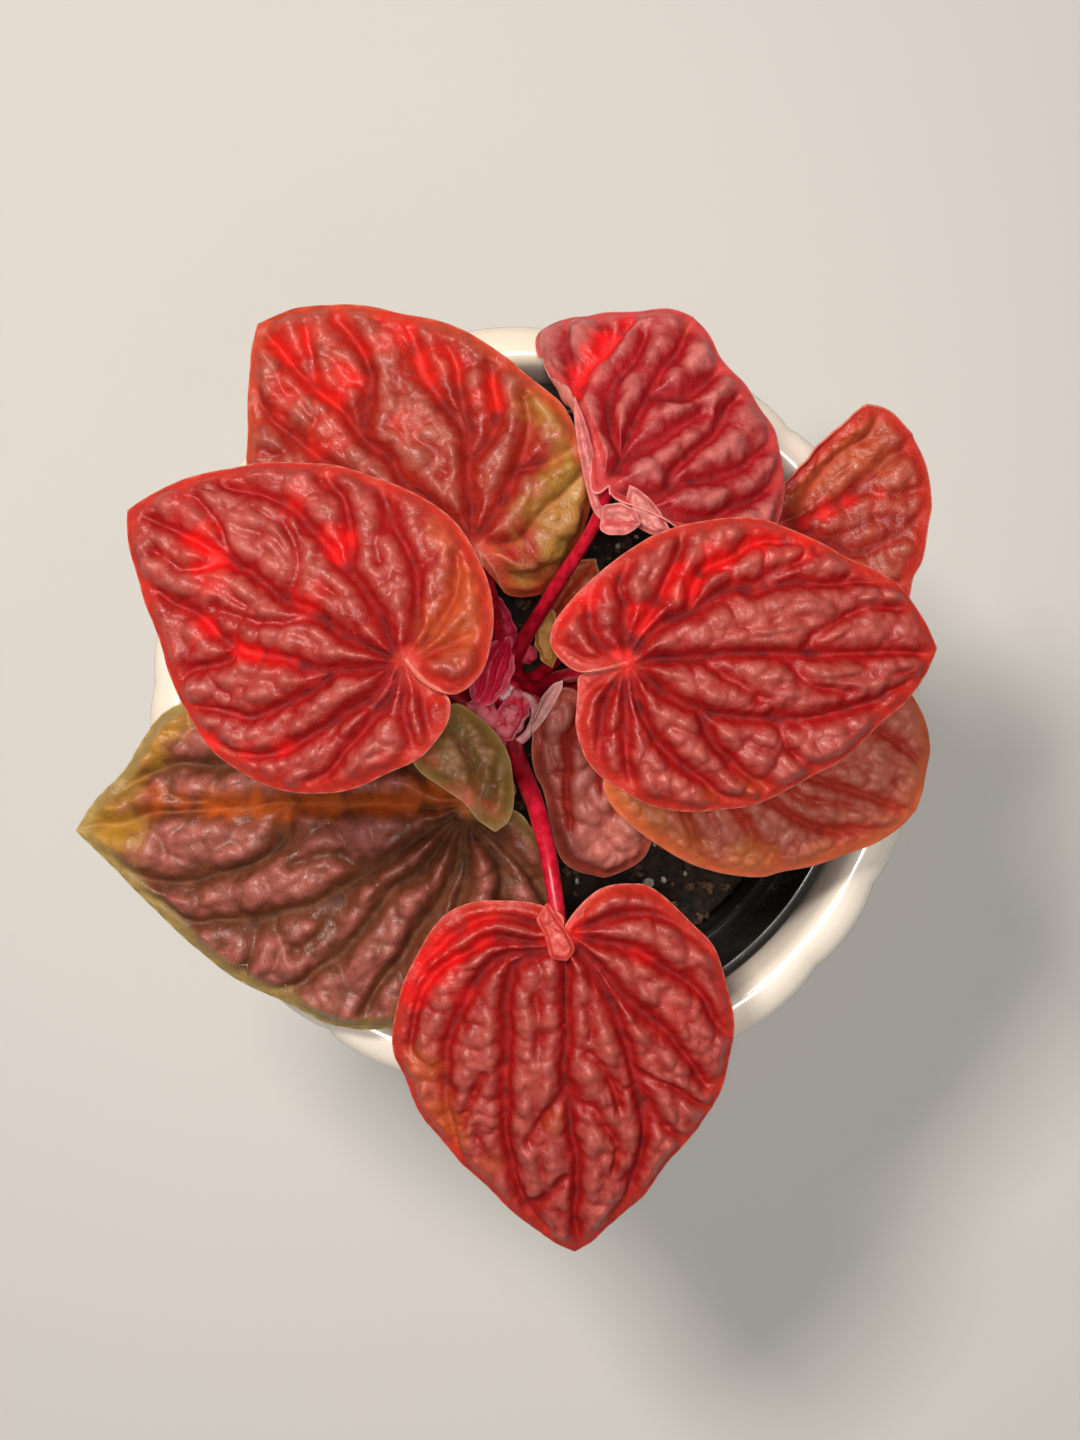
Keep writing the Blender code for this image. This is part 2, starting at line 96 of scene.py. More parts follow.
def add(tree: bpy.types.NodeTree, kind: str, settings: dict | None = None,
        inputs: dict | None = None) -> bpy.types.Node:
    """Add a node to a tree, with its settings and what its sockets hold.

    Args:
        tree: The node tree.
        kind: The node's type name.
        settings: Properties of the node.
        inputs: Values, nodes or sockets by input name or number. A node gives its first live output.

    Returns:
        The new node.
    """
    made = tree.nodes.new(kind)
    for key, value in (settings or {}).items():
        setattr(made, key, value)
    for key, value in (inputs or {}).items():
        if isinstance(key, int):
            socket = made.inputs[key]
        else:
            socket = next(s for s in made.inputs if s.enabled and s.name == key)
        if isinstance(value, bpy.types.Node):
            value = next(s for s in value.outputs if s.enabled)
        if isinstance(value, bpy.types.NodeSocket):
            tree.links.new(value, socket)
        else:
            socket.default_value = value
    return made


def new_material(name: str) -> tuple[bpy.types.Material, bpy.types.NodeTree, bpy.types.NodeSocket]:
    """Make a node material that has nothing but the object's coordinates yet.

    Args:
        name: The finish it stands for.

    Returns:
        The material, its node tree and the coordinates.
    """
    made = bpy.data.materials.new(name)
    made.use_nodes = True
    made.node_tree.nodes.clear()
    return made, made.node_tree, add(made.node_tree, "ShaderNodeTexCoord").outputs["Object"]


def layered(tree: bpy.types.NodeTree, ground: str, layers: list[Layer]) -> bpy.types.Node:
    """Lay colours over one another, each where its source runs from low to high.

    Args:
        tree: The material's node tree.
        ground: The lowest colour.
        layers: The source, low, high, greatest cover and colour of each layer, the lowest first.

    Returns:
        The node that gives the colour.
    """
    colour = linear(ground)
    for source, low, high, most, over in layers:
        share = add(tree, "ShaderNodeMapRange", {"interpolation_type": "SMOOTHSTEP"},
                    {"Value": source, "From Min": low, "From Max": high, "To Max": most})
        colour = add(tree, "ShaderNodeMix", {"data_type": "RGBA"},
                     {"Factor": share, "A": colour, "B": linear(over)})
    return colour


def surface(tree: bpy.types.NodeTree, height: Source, strength: float, depth_mm: float,
            inputs: dict) -> None:
    """End a material with a principled shader that has fine relief.

    Args:
        tree: The material's node tree.
        height: The relief's height.
        strength: How strongly it shows.
        depth_mm: Its depth.
        inputs: The shader's other inputs by name.
    """
    bump = add(tree, "ShaderNodeBump", None,
               {"Strength": strength, "Distance": depth_mm * MM, "Height": height})
    shader = add(tree, "ShaderNodeBsdfPrincipled", None, {**inputs, "Normal": bump})
    add(tree, "ShaderNodeOutputMaterial", None, {"Surface": shader})


def geometry_tree(name: str, sockets: dict[str, str]) -> tuple[bpy.types.NodeTree, bpy.types.Node]:
    """Start a Geometry Nodes tree with a geometry input, a geometry output and a material input.

    Args:
        name: The tree's name.
        sockets: Type of each other input by name, without the words that all the types start with.

    Returns:
        The tree and its Group Input node.
    """
    tree = bpy.data.node_groups.new(name, "GeometryNodeTree")
    tree.interface.new_socket("Geometry", in_out="INPUT", socket_type="NodeSocketGeometry")
    for label, kind in {**sockets, "Material": "Material"}.items():
        tree.interface.new_socket(label, in_out="INPUT", socket_type="NodeSocket" + kind)
    tree.interface.new_socket("Geometry", in_out="OUTPUT", socket_type="NodeSocketGeometry")
    return tree, add(tree, "NodeGroupInput")


def end_tree(tree: bpy.types.NodeTree, entry: bpy.types.Node,
             geometry: bpy.types.Node) -> bpy.types.NodeTree:
    """End a Geometry Nodes tree with plain geometry in its material.

    Args:
        tree: The tree.
        entry: Its Group Input node.
        geometry: The node that gives the geometry.

    Returns:
        The tree.
    """
    plain = add(tree, "GeometryNodeRealizeInstances", None, {"Geometry": geometry})
    dressed = add(tree, "GeometryNodeSetMaterial", None,
                  {"Geometry": plain, "Material": entry.outputs["Material"]})
    add(tree, "NodeGroupOutput", None, {"Geometry": dressed})
    return tree


def grown(source: bpy.types.Object, tree: bpy.types.NodeTree, values: dict,
          name: str) -> bpy.types.Object:
    """Run a Geometry Nodes tree on an object and keep the result as a plain mesh.

    Args:
        source: The object it starts from, which is removed.
        tree: The tree.
        values: Input values by name.
        name: The new piece's name.

    Returns:
        The new object.
    """
    modifier = source.modifiers.new("growth", "NODES")
    modifier.node_group = tree
    for item in tree.interface.items_tree:
        if item.in_out == "INPUT" and item.name in values:
            modifier[item.identifier] = values[item.name]
    bpy.context.view_layer.update()
    evaluated = source.evaluated_get(bpy.context.evaluated_depsgraph_get())
    mesh = bpy.data.meshes.new_from_object(evaluated)
    source.modifiers.remove(modifier)
    bpy.data.objects.remove(source)
    mesh.name = name
    made = bpy.data.objects.new(name, mesh)
    bpy.context.scene.collection.objects.link(made)
    return made


def mesh_object(name: str, points: np.ndarray, faces: list, material: bpy.types.Material | None = None,
                marks: dict[str, np.ndarray] | None = None, edges: list | None = None) -> bpy.types.Object:
    """Make a smooth mesh object.

    Args:
        name: The object's name.
        points: Its vertices in millimetres.
        faces: Its faces as vertex numbers.
        material: Its material.
        marks: One number a vertex, by attribute name.
        edges: Loose edges as vertex numbers.

    Returns:
        The new object.
    """
    mesh = bpy.data.meshes.new(name)
    mesh.from_pydata((np.asarray(points, float) * MM).tolist(), edges or [], faces)
    for label, values in (marks or {}).items():
        mark = mesh.attributes.new(label, "FLOAT", "POINT")
        mark.data.foreach_set("value", np.asarray(values, np.float32))
    if faces:
        mesh.shade_smooth()
    if material:
        mesh.materials.append(material)
    made = bpy.data.objects.new(name, mesh)
    bpy.context.scene.collection.objects.link(made)
    return made


def seat(piece: bpy.types.Object, slot: str, *nodes: str) -> None:
    """Give a finished piece its body and hide the CAD nodes that it stands for.

    Args:
        piece: The piece.
        slot: The record's material slot; not used.
        *nodes: CAD nodes that the piece replaces.
    """
    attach(piece, BODY)
    for node in nodes:
        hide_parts(node)
    LOG.info("%s: %d faces, stands for %s", piece.name, len(piece.data.polygons),
             ", ".join(nodes) or "itself")


# Curves and patterns


def smooth_path(points: list, count: int) -> np.ndarray:
    """Space points evenly along a Catmull-Rom curve.

    Args:
        points: The points it passes.
        count: How many points to return.

    Returns:
        The points, one a row.
    """
    through = np.array(points, dtype=float)
    ends = np.vstack([2 * through[0] - through[1], through, 2 * through[-1] - through[-2]])
    t = np.linspace(0.0, 1.0, 16, endpoint=False)[:, None]
    fine = []
    for before, start, end, after in zip(ends, ends[1:], ends[2:], ends[3:]):
        fine.append(0.5 * (2 * start + (end - before) * t
                           + (2 * before - 5 * start + 4 * end - after) * t ** 2
                           + (3 * start - before - 3 * end + after) * t ** 3))
    fine = np.vstack(fine + [through[-1:]])
    length = np.concatenate([[0.0], np.cumsum(np.linalg.norm(np.diff(fine, axis=0), axis=1))])
    wanted = np.linspace(0.0, length[-1], count)
    return np.stack([np.interp(wanted, length, fine[:, k]) for k in range(fine.shape[1])], axis=1)


def ease(value: np.ndarray, low: float, high: float) -> np.ndarray:
    """Rise smoothly from zero at low to one at high.

    Args:
        value: The values.
        low: Where the rise starts.
        high: Where it ends.

    Returns:
        Numbers from zero to one.
    """
    t = np.clip((value - low) / (high - low), 0.0, 1.0)
    return t * t * (3.0 - 2.0 * t)


def cells(x: np.ndarray, y: np.ndarray, size: float, seed: int) -> tuple[np.ndarray, np.ndarray]:
    """Measure to the nearest two of many scattered points.

    Args:
        x: Places along one axis.
        y: Places along the other.
        size: Mean spacing of the points.
        seed: Which scatter.

    Returns:
        Distance to the nearest and the second nearest point, in spacings.
    """
    span = 64
    table = np.random.default_rng(seed).random((span, span, 2))
    gx, gy = x / size, y / size
    ix, iy = np.floor(gx).astype(int), np.floor(gy).astype(int)
    first = np.full(np.shape(x), 9.0)
    second = first.copy()
    for dx in (-1, 0, 1):
        for dy in (-1, 0, 1):
            jitter = table[(ix + dx) % span, (iy + dy) % span]
            away = np.hypot(ix + dx + jitter[..., 0] - gx, iy + dy + jitter[..., 1] - gy)
            second = np.minimum(second, np.maximum(first, away))
            first = np.minimum(first, away)
    return first, second


def drift(x: np.ndarray, y: np.ndarray, size: float, seed: int) -> np.ndarray:
    """Smooth random waves.

    Args:
        x: Places along one axis.
        y: Places along the other.
        size: Length of a wave.
        seed: Which waves.

    Returns:
        Values from about -1 to 1.
    """
    table = np.random.default_rng(seed).uniform(-1.0, 1.0, (32, 32))
    gx, gy = x / size, y / size
    ix, iy = np.floor(gx).astype(int), np.floor(gy).astype(int)
    fx, fy = ease(gx - ix, 0.0, 1.0), ease(gy - iy, 0.0, 1.0)
    low = table[ix % 32, iy % 32] * (1 - fx) + table[(ix + 1) % 32, iy % 32] * fx
    high = table[ix % 32, (iy + 1) % 32] * (1 - fx) + table[(ix + 1) % 32, (iy + 1) % 32] * fx
    return low * (1 - fy) + high * fy


# Finishes


@dataclass(frozen=True)
class LeafSkin:
    """Living leaf skin, waxy and puckered, moulded by its own veins.

    Thin wax over wet cells gives soft, broken highlights on the lumps, and a pale colour on their tops
    paints more highlight onto them. The deep, clear red of the thin valleys is painted shade together with
    the red of light that enters the blade, and bright red patches paint that light where it shines through.
    """

    name: str = "leaf_wax_red"
    # Dark red in the grooves: painted shade, together with the red of light that enters the blade.
    valley_painted_shade: str = "#600205"
    body: str = "#a01210"
    # Pale colour on the tops of the lumps: a painted highlight.
    crest_painted_highlight: str = "#b6544a"
    vein: str = "#a80c12"
    margin: str = "#c83020"
    rim: str = "#e88a76"
    # Bright red where light shines through the blade: painted light.
    painted_backlight: str = "#ee1010"
    warm: str = "#bd5424"
    under: str = "#dc8a80"
    roughness: float = 0.31
    relief_grain_mm: float = 0.9
    margin_mm: float = 3.0
    rim_mm: float = 0.3

    def material(self) -> bpy.types.Material:
        """Build the node material from the blade's own attributes and fine noise.

        Returns:
            The material.
        """
        material, tree, place = new_material(self.name)
        mark = {label: add(tree, "ShaderNodeAttribute", {"attribute_name": label}).outputs["Fac"]
                for label in ("relief", "vein", "edge", "painted_backlight", "warm", "skin")}
        blotch = add(tree, "ShaderNodeTexNoise", None,
                     {"Vector": place, "Scale": 420.0, "Detail": 3.0, "Roughness": 0.6})
        grain = add(tree, "ShaderNodeTexNoise", None,
                    {"Vector": place, "Scale": 1.0 / (self.relief_grain_mm * MM), "Detail": 4.0,
                     "Roughness": 0.62, "Distortion": 0.8})
        pore = add(tree, "ShaderNodeTexVoronoi", None, {"Vector": place, "Scale": 620.0, "Randomness": 1.0})
        patchy = add(tree, "ShaderNodeMath", {"operation": "MULTIPLY_ADD"}, {0: blotch, 1: 0.5, 2: -0.25})
        height = add(tree, "ShaderNodeMath", {"operation": "ADD"}, {0: mark["relief"], 1: patchy})
        # By relief height, the dark colour paints shade into the valleys and the pale colour paints a
        # highlight onto the tops of the lumps.
        colour = layered(tree, self.valley_painted_shade, [
            (height, 0.0, 0.3, 1.0, self.body),
            (height, 0.38, 0.95, 0.92, self.crest_painted_highlight),
            (mark["warm"], 0.0, 1.0, 0.85, self.warm),
            (mark["edge"], self.margin_mm, 0.3 * self.margin_mm, 0.8, self.margin),
            (mark["painted_backlight"], 0.0, 1.0, 0.85, self.painted_backlight),
            (mark["vein"], 0.3, 1.0, 0.4, self.vein),
            # Tiny dark dots of painted shade in the pores.
            (pore.outputs["Distance"], 0.14, 0.07, 0.45, self.valley_painted_shade),
            (mark["edge"], self.rim_mm, self.rim_mm / 6.0, 0.7, self.rim),
            (mark["skin"], 0.4, 0.6, 0.9, self.under),
        ])
        dapple = add(tree, "ShaderNodeMapRange", None,
                     {"Value": blotch, "From Min": 0.3, "From Max": 0.7, "To Min": 0.8, "To Max": 1.1})
        colour = add(tree, "ShaderNodeVectorMath", {"operation": "SCALE"}, {0: colour, "Scale": dapple})
        gloss = add(tree, "ShaderNodeMapRange", None,
                    {"Value": grain, "From Min": 0.3, "From Max": 0.75,
                     "To Min": self.roughness - 0.06, "To Max": self.roughness + 0.16})
        matt = add(tree, "ShaderNodeMapRange", {"interpolation_type": "SMOOTHSTEP"},
                   {"Value": mark["relief"], "From Min": 0.4, "From Max": 0.05, "To Max": 0.6})
        gloss = add(tree, "ShaderNodeMath", {"operation": "ADD", "use_clamp": True}, {0: gloss, 1: matt})
        surface(tree, grain, 0.75, 0.24, {
            "Base Color": colour, "Roughness": gloss, "IOR": 1.46, "Subsurface Weight": 0.12,
            "Subsurface Radius": (1.0, 0.25, 0.15), "Subsurface Scale": 1.0 * MM})
        return material


@dataclass(frozen=True)
class StalkSkin:
    """Smooth fleshy stalk skin, clear magenta-red and wet-looking, with faint lengthwise streaks."""

    name: str = "stalk_flesh_magenta"
    deep: str = "#ac0620"
    bright: str = "#d61838"
    roughness: float = 0.34

    def material(self) -> bpy.types.Material:
        """Build the node material.

        Returns:
            The material.
        """
        material, tree, place = new_material(self.name)
        stretch = add(tree, "ShaderNodeMapping", None, {"Vector": place, "Scale": (1.0, 1.0, 0.25)})
        streak = add(tree, "ShaderNodeTexNoise", None,
                     {"Vector": stretch, "Scale": 700.0, "Detail": 3.0, "Roughness": 0.55})
        surface(tree, streak, 0.3, 0.1, {
            "Base Color": layered(tree, self.deep, [(streak, 0.35, 0.65, 1.0, self.bright)]),
            "Roughness": self.roughness, "IOR": 1.42, "Subsurface Weight": 0.3,
            "Subsurface Radius": (1.0, 0.2, 0.2), "Subsurface Scale": 1.0 * MM,
            "Coat Weight": 0.12, "Coat Roughness": 0.25})
        return material


@dataclass(frozen=True)
class CeramicGlaze:
    """Glazed earthenware: a thick cream glaze, satin to glossy, with soft clouds of a darker cream."""

    name: str = "earthenware_cream_glaze"
    light: str = "#f3eadb"
    shade: str = "#ecdfcb"
    pinhole: str = "#a98d6c"
    roughness: float = 0.26

    def material(self) -> bpy.types.Material:
        """Build the node material.

        Returns:
            The material.
        """
        material, tree, place = new_material(self.name)
        cloud = add(tree, "ShaderNodeTexNoise", None, {"Vector": place, "Scale": 28.0, "Detail": 2.0})
        ripple = add(tree, "ShaderNodeTexNoise", None, {"Vector": place, "Scale": 160.0, "Detail": 2.0})
        speck = add(tree, "ShaderNodeTexVoronoi", None, {"Vector": place, "Scale": 210.0})
        colour = layered(tree, self.light, [
            (cloud, 0.35, 0.75, 1.0, self.shade),
            (speck.outputs["Distance"], 0.075, 0.03, 0.25, self.pinhole),
        ])
        gloss = add(tree, "ShaderNodeMapRange", None,
                    {"Value": ripple, "From Min": 0.3, "From Max": 0.7,
                     "To Min": self.roughness - 0.04, "To Max": self.roughness + 0.08})
        surface(tree, ripple, 0.15, 0.3, {"Base Color": colour, "Roughness": gloss, "IOR": 1.5,
                                          "Coat Weight": 0.35, "Coat Roughness": 0.12})
        return material


@dataclass(frozen=True)
class MouldedPlastic:
    """Thin black polypropylene, vacuum formed and glossy, with dust and dried specks of peat on it."""

    name: str = "polypropylene_black"
    black: str = "#1c1b1a"
    dust: str = "#4b463f"
    roughness: float = 0.24

    def material(self) -> bpy.types.Material:
        """Build the node material.

        Returns:
            The material.
        """
        material, tree, place = new_material(self.name)
        film = add(tree, "ShaderNodeTexNoise", None,
                   {"Vector": place, "Scale": 90.0, "Detail": 6.0, "Roughness": 0.7})
        speck = add(tree, "ShaderNodeTexVoronoi", None, {"Vector": place, "Scale": 260.0})
        colour = layered(tree, self.black, [
            (film, 0.5, 0.85, 0.25, self.dust),
            (speck.outputs["Distance"], 0.15, 0.08, 0.8, self.dust),
        ])
        gloss = add(tree, "ShaderNodeMapRange", None,
                    {"Value": film, "From Min": 0.3, "From Max": 0.8,
                     "To Min": self.roughness - 0.05, "To Max": self.roughness + 0.3})
        surface(tree, film, 0.2, 0.1, {"Base Color": colour, "Roughness": gloss, "IOR": 1.49})
        return material


@dataclass(frozen=True)
class LooseGrain:
    """Dry loose matter in small pieces, such as peat crumbs, bark or expanded perlite."""

    name: str
    dark: str
    light: str
    roughness: float
    patch_mm: float

    def material(self) -> bpy.types.Material:
        """Build the node material.

        Returns:
            The material.
        """
        material, tree, place = new_material(self.name)
        patch = add(tree, "ShaderNodeTexNoise", None,
                    {"Vector": place, "Scale": 1.0 / (self.patch_mm * MM), "Detail": 5.0, "Roughness": 0.7})
        colour = layered(tree, self.dark, [(patch, 0.38, 0.68, 1.0, self.light)])
        surface(tree, patch, 0.8, 0.4, {"Base Color": colour, "Roughness": self.roughness, "IOR": 1.45})
        return material


Finish = LeafSkin | StalkSkin | CeramicGlaze | MouldedPlastic | LooseGrain
# In every leaf skin below, the dark colour of the grooves is painted shade, the pale colour of the tops of
# the lumps is a painted highlight, and the bright patch colour is painted light shining through the blade.
RED_SKIN = LeafSkin()
ORANGE_SKIN = LeafSkin(name="leaf_wax_orange", valley_painted_shade="#6c0606", body="#a02014", crest_painted_highlight="#b05c4c",
                       vein="#c02418", margin="#c8482c", warm="#b08a3c", painted_backlight="#ee1c14", under="#c98a63")
SALMON_SKIN = LeafSkin(name="leaf_wax_salmon", valley_painted_shade="#98180c", body="#b83420", crest_painted_highlight="#cc6e58",
                       vein="#c03820", margin="#d8683c", warm="#d4763c", painted_backlight="#f84a2c", under="#c98a63")
OLIVE_SKIN = LeafSkin(name="leaf_wax_olive", valley_painted_shade="#3c1c0a", body="#6c3820", crest_painted_highlight="#aa5e52",
                      vein="#84501c", margin="#a48a50", rim="#dccc98", warm="#b8862a", painted_backlight="#c45a18",
                      under="#8c7f4f")
FOLD_SKIN = LeafSkin(name="leaf_wax_olive_fold", valley_painted_shade="#5c3c14", body="#7e5a26", crest_painted_highlight="#b4845a",
                     vein="#a05a20", margin="#9c7c3c", rim="#d0ac70", warm="#dc6a44", painted_backlight="#f0604a",
                     under="#8c7f4f")
RUSSET_SKIN = LeafSkin(name="leaf_wax_russet", valley_painted_shade="#5c0806", body="#a42a1e", crest_painted_highlight="#c47064",
                       vein="#a01814", margin="#bc5442", rim="#d88e7c", painted_backlight="#d81810",
                       under="#e8b0a8")
YOUNG_SKIN = LeafSkin(name="leaf_wax_young", valley_painted_shade="#d00c3c", body="#f0405e", crest_painted_highlight="#ff8c98",
                      vein="#e02048", margin="#fa5c78", rim="#ff8c9c", painted_backlight="#ff204a", under="#f8a0a8",
                      relief_grain_mm=0.7, margin_mm=0.9, rim_mm=0.14)
ROSE_SKIN = LeafSkin(name="leaf_wax_rose", body="#a4141c", crest_painted_highlight="#cc706a", margin="#d84a48",
                     rim="#f0a098")
TONGUE_SKIN = LeafSkin(name="leaf_wax_turned_margin", valley_painted_shade="#b82828", body="#c83430", crest_painted_highlight="#d6564c",
                       margin="#cc4038", rim="#dc6c5e", margin_mm=0.8, rim_mm=0.06)
PALE_SKIN = LeafSkin(name="leaf_wax_underside", valley_painted_shade="#b83038", body="#cc5c5c", crest_painted_highlight="#dc8a82",
                     vein="#c04848", margin="#cc6a66", rim="#e0968e", under="#dc8a82",
                     relief_grain_mm=0.7, margin_mm=0.8, rim_mm=0.12)
DRIED_SKIN = LeafSkin(name="leaf_dry_brown", valley_painted_shade="#8a1c0a", body="#d85028", crest_painted_highlight="#ff9c74",
                      vein="#b04a24", margin="#ff9468", rim="#ffd4b4", warm="#e0a85a", painted_backlight="#c84a1c",
                      under="#c98a58", roughness=0.5, relief_grain_mm=0.8, margin_mm=1.0, rim_mm=0.2)
CORAL_SKIN = LeafSkin(name="leaf_wax_coral", body="#9c2012", crest_painted_highlight="#b0503c", warm="#b8502a")
FOLDED_SKIN = replace(YOUNG_SKIN, name="leaf_wax_young_folded", body="#e8204c", crest_painted_highlight="#ff6e84")
SHEATH_SKIN = replace(YOUNG_SKIN, name="stalk_sheath_magenta", valley_painted_shade="#a00a34", body="#c81440",
                      crest_painted_highlight="#dc3058", margin="#d42850", rim="#ee8090", under="#c81440")
FRESH_SKIN = replace(YOUNG_SKIN, name="bud_wax_crimson", valley_painted_shade="#a8062c", body="#d8143e", crest_painted_highlight="#f0506c")
PALEST_SKIN = replace(PALE_SKIN, name="leaf_wax_underside_pale", body="#dc8480", crest_painted_highlight="#f0b4ac",
                      margin="#ecaaa2", rim="#fcdcd4")
TAN_SKIN = replace(DRIED_SKIN, name="leaf_dry_tan", valley_painted_shade="#c86018", body="#ff9a34", crest_painted_highlight="#ffca78",
                   margin="#ffb458", warm="#ffa840")
STALK_SKIN = StalkSkin()
PALE_RIM = StalkSkin(name="young_leaf_rim_pale", deep="#f09aa0", bright="#ffc8c4")
GLAZE = CeramicGlaze()
PLASTIC = MouldedPlastic()
PEAT = LooseGrain("peat_damp", "#120c09", "#382619", 0.85, 2.0)
BARK = LooseGrain("bark_crumb", "#2a1b12", "#7a5b40", 0.7, 1.2)
HAIR = LooseGrain("leaf_hair_white", "#d8cfbe", "#f6f0e4", 0.5, 1.0)
PERLITE = LooseGrain("perlite_expanded", "#a39a88", "#ece6da", 0.75, 1.0)


# The leaf blades


@dataclass(frozen=True)
class Quilt:
    """How a blade puckers between its veins, in millimetres."""

    rise: float = 2.3
    flank: float = 1.5
    split: float = 0.25
    lump: float = 3.9
    lump_rise: float = 1.15
    pebble: float = 2.0
    pebble_rise: float = 0.5
    smooth_margin: float = 2.8
    ruffle: float = 0.25
    ruffle_length: float = 11.0
    ruffle_fade: float = 2.2
    wander: float = 0.7
    wander_length: float = 5.0
    split_grows: Pair = (5.0, 8.0)
    split_fades: Pair = (13.0, 17.0)
    vein_width: float = 0.38
    seed: int = 1


@dataclass(frozen=True)
class Roll:
    """A stretch of margin that curls up, or down where its turn is negative."""

    at: Pair
    reach: float
    width: float
    turn: float


@dataclass(frozen=True)
class Patch:
    """A soft round patch of another colour on a blade."""

    at: Pair
    radius: float
    strength: float = 1.0


@dataclass(frozen=True)
class Lift:
    """A soft rise, or a dip where it is negative, of one side of a blade only."""

    at: Pair
    radius: float
    rise: float
    side: float


@dataclass
class Blade:
    """One leaf blade: a heart-shaped skin of even thickness, puckered between its veins.

    Places on it are (along, across): along the midrib from the joint, and across to its left.
    """

    name: str
    joint: Place
    heading: float
    length: float
    fall: float
    droop: float
    arch: Pair
    lobe: float
    left: list[Pair]
    right: list[Pair]
    veins: list[list[Pair]] = field(default_factory=list)
    creases: list[list[Pair]] = field(default_factory=list)
    rolls: list[Roll] = field(default_factory=list)
    lifts: list[Lift] = field(default_factory=list)
    # Patches of painted light shining through the blade.
    painted_backlights: list[Patch] = field(default_factory=list)
    warms: list[Patch] = field(default_factory=list)
    quilt: Quilt = Quilt()
    skin: LeafSkin = RED_SKIN
    slot: str = "leaf_red"
    cell: float = 0.42
    thickness: float = 0.85
    rim_thickness: float = 0.3
    full_from: float = 1.6
    clearance: float = 0.5

    def outline(self) -> np.ndarray:
        """Draw the margin from the tip round the left side to the notch and back along the right.

        Returns:
            (along, across) of each point of it.
        """
        tip, notch = (self.length, 0.0), (0.0, 0.0)
        left = smooth_path([tip] + self.left[::-1] + [notch], OUTLINE_POINTS)
        right = smooth_path([notch] + self.right + [tip], OUTLINE_POINTS)
        return np.vstack([left, right[1:]])

    def lattice(self, edge: np.ndarray, steps: int) -> tuple[np.ndarray, np.ndarray]:
        """Spread a square grid over the outline.

        Args:
            edge: The outline.
            steps: Cells along a side of the grid.

        Returns:
            (along, across) of each grid point, and which side of the midrib it belongs to, from -1 to 1.
        """
        a, b = np.meshgrid(*[np.linspace(-1.0, 1.0, steps + 1)] * 2, indexing="ij")
        ring = np.maximum(np.abs(a), np.abs(b))
        ring = np.where(ring > 1e-9, ring, 1e-9)
        turn = np.select([a >= np.abs(b), b >= np.abs(a), -a >= np.abs(b)],
                         [b / ring, 2.0 - a / ring, 4.0 - b / ring], 6.0 + a / ring) % 8.0
        at = turn / 8.0 * (len(edge) - 1)
        rim = np.stack([np.interp(at, np.arange(len(edge)), edge[:, k]) for k in (0, 1)], axis=-1)
        heart = np.array([0.3 * self.length, 0.0])
        return heart + (rim - heart) * (ring ** 0.92)[..., None], b

    def base(self, u: np.ndarray, v: np.ndarray) -> tuple[np.ndarray, np.ndarray, np.ndarray, np.ndarray]:
        """Find the blade's middle surface.

        Args:
            u: Places along.
            v: Places across.

        Returns:
            Points, and the directions along, across and out of the top face.
        """
        arch = np.where(v > 0, self.arch[0], self.arch[1])
        ahead, behind = np.maximum(u, 0.0), np.minimum(u, 0.0)
        height = -self.fall * u - self.droop * ahead ** 2 - self.lobe * behind ** 2 - arch * v ** 2
        slope_u = -self.fall - 2 * self.droop * ahead - 2 * self.lobe * behind
        slope_v = -2 * arch * v
        c, s = math.cos(math.radians(self.heading)), math.sin(math.radians(self.heading))
        x, y, z = self.joint
        points = np.stack([x + u * c - v * s, y + u * s + v * c, z + height], axis=-1)
        flat = np.ones_like(u)
        along = np.stack([c * flat, s * flat, slope_u], axis=-1)
        across = np.stack([-s * flat, c * flat, slope_v], axis=-1)
        normal = np.cross(along, across)
        along, across, normal = (way / np.linalg.norm(way, axis=-1, keepdims=True)
                                 for way in (along, across, normal))
        return points, along, across, normal

    def to_lines(self, lines: list[list[Pair]], u: np.ndarray, v: np.ndarray) -> tuple[np.ndarray, ...]:
        """Measure to the nearest two of the lines.

        Args:
            lines: The lines.
            u: Places along.
            v: Places across.

        Returns:
            Distances to the nearest and the second nearest line, and how far out along the nearest one.
        """
        nearest = np.full(u.shape, FAR_MM)
        second = nearest.copy()
        out = np.zeros(u.shape)
        for line in lines:
            path = smooth_path(line, VEIN_POINTS)
            step = np.diff(path, axis=0)
            off_u, off_v = u[..., None] - path[:-1, 0], v[..., None] - path[:-1, 1]
            part = np.clip((off_u * step[:, 0] + off_v * step[:, 1]) / (step ** 2).sum(axis=1), 0.0, 1.0)
            gap = np.hypot(off_u - part * step[:, 0], off_v - part * step[:, 1])
            which = gap.argmin(axis=-1)
            gap = gap.min(axis=-1)
            out = np.where(gap < nearest, which / (VEIN_POINTS - 2), out)
            second = np.minimum(second, np.maximum(nearest, gap))
            nearest = np.minimum(nearest, gap)
        return nearest, second, out

    def to_margin(self, edge: np.ndarray, u: np.ndarray, v: np.ndarray) -> tuple[np.ndarray, np.ndarray]:
        """Measure to the margin.

        Args:
            edge: The outline.
            u: Places along.
            v: Places across.

        Returns:
            Distance to the margin, and the number of the nearest outline point.
        """
        gap = np.hypot(u[..., None] - edge[:, 0], v[..., None] - edge[:, 1])
        return gap.min(axis=-1), gap.argmin(axis=-1)

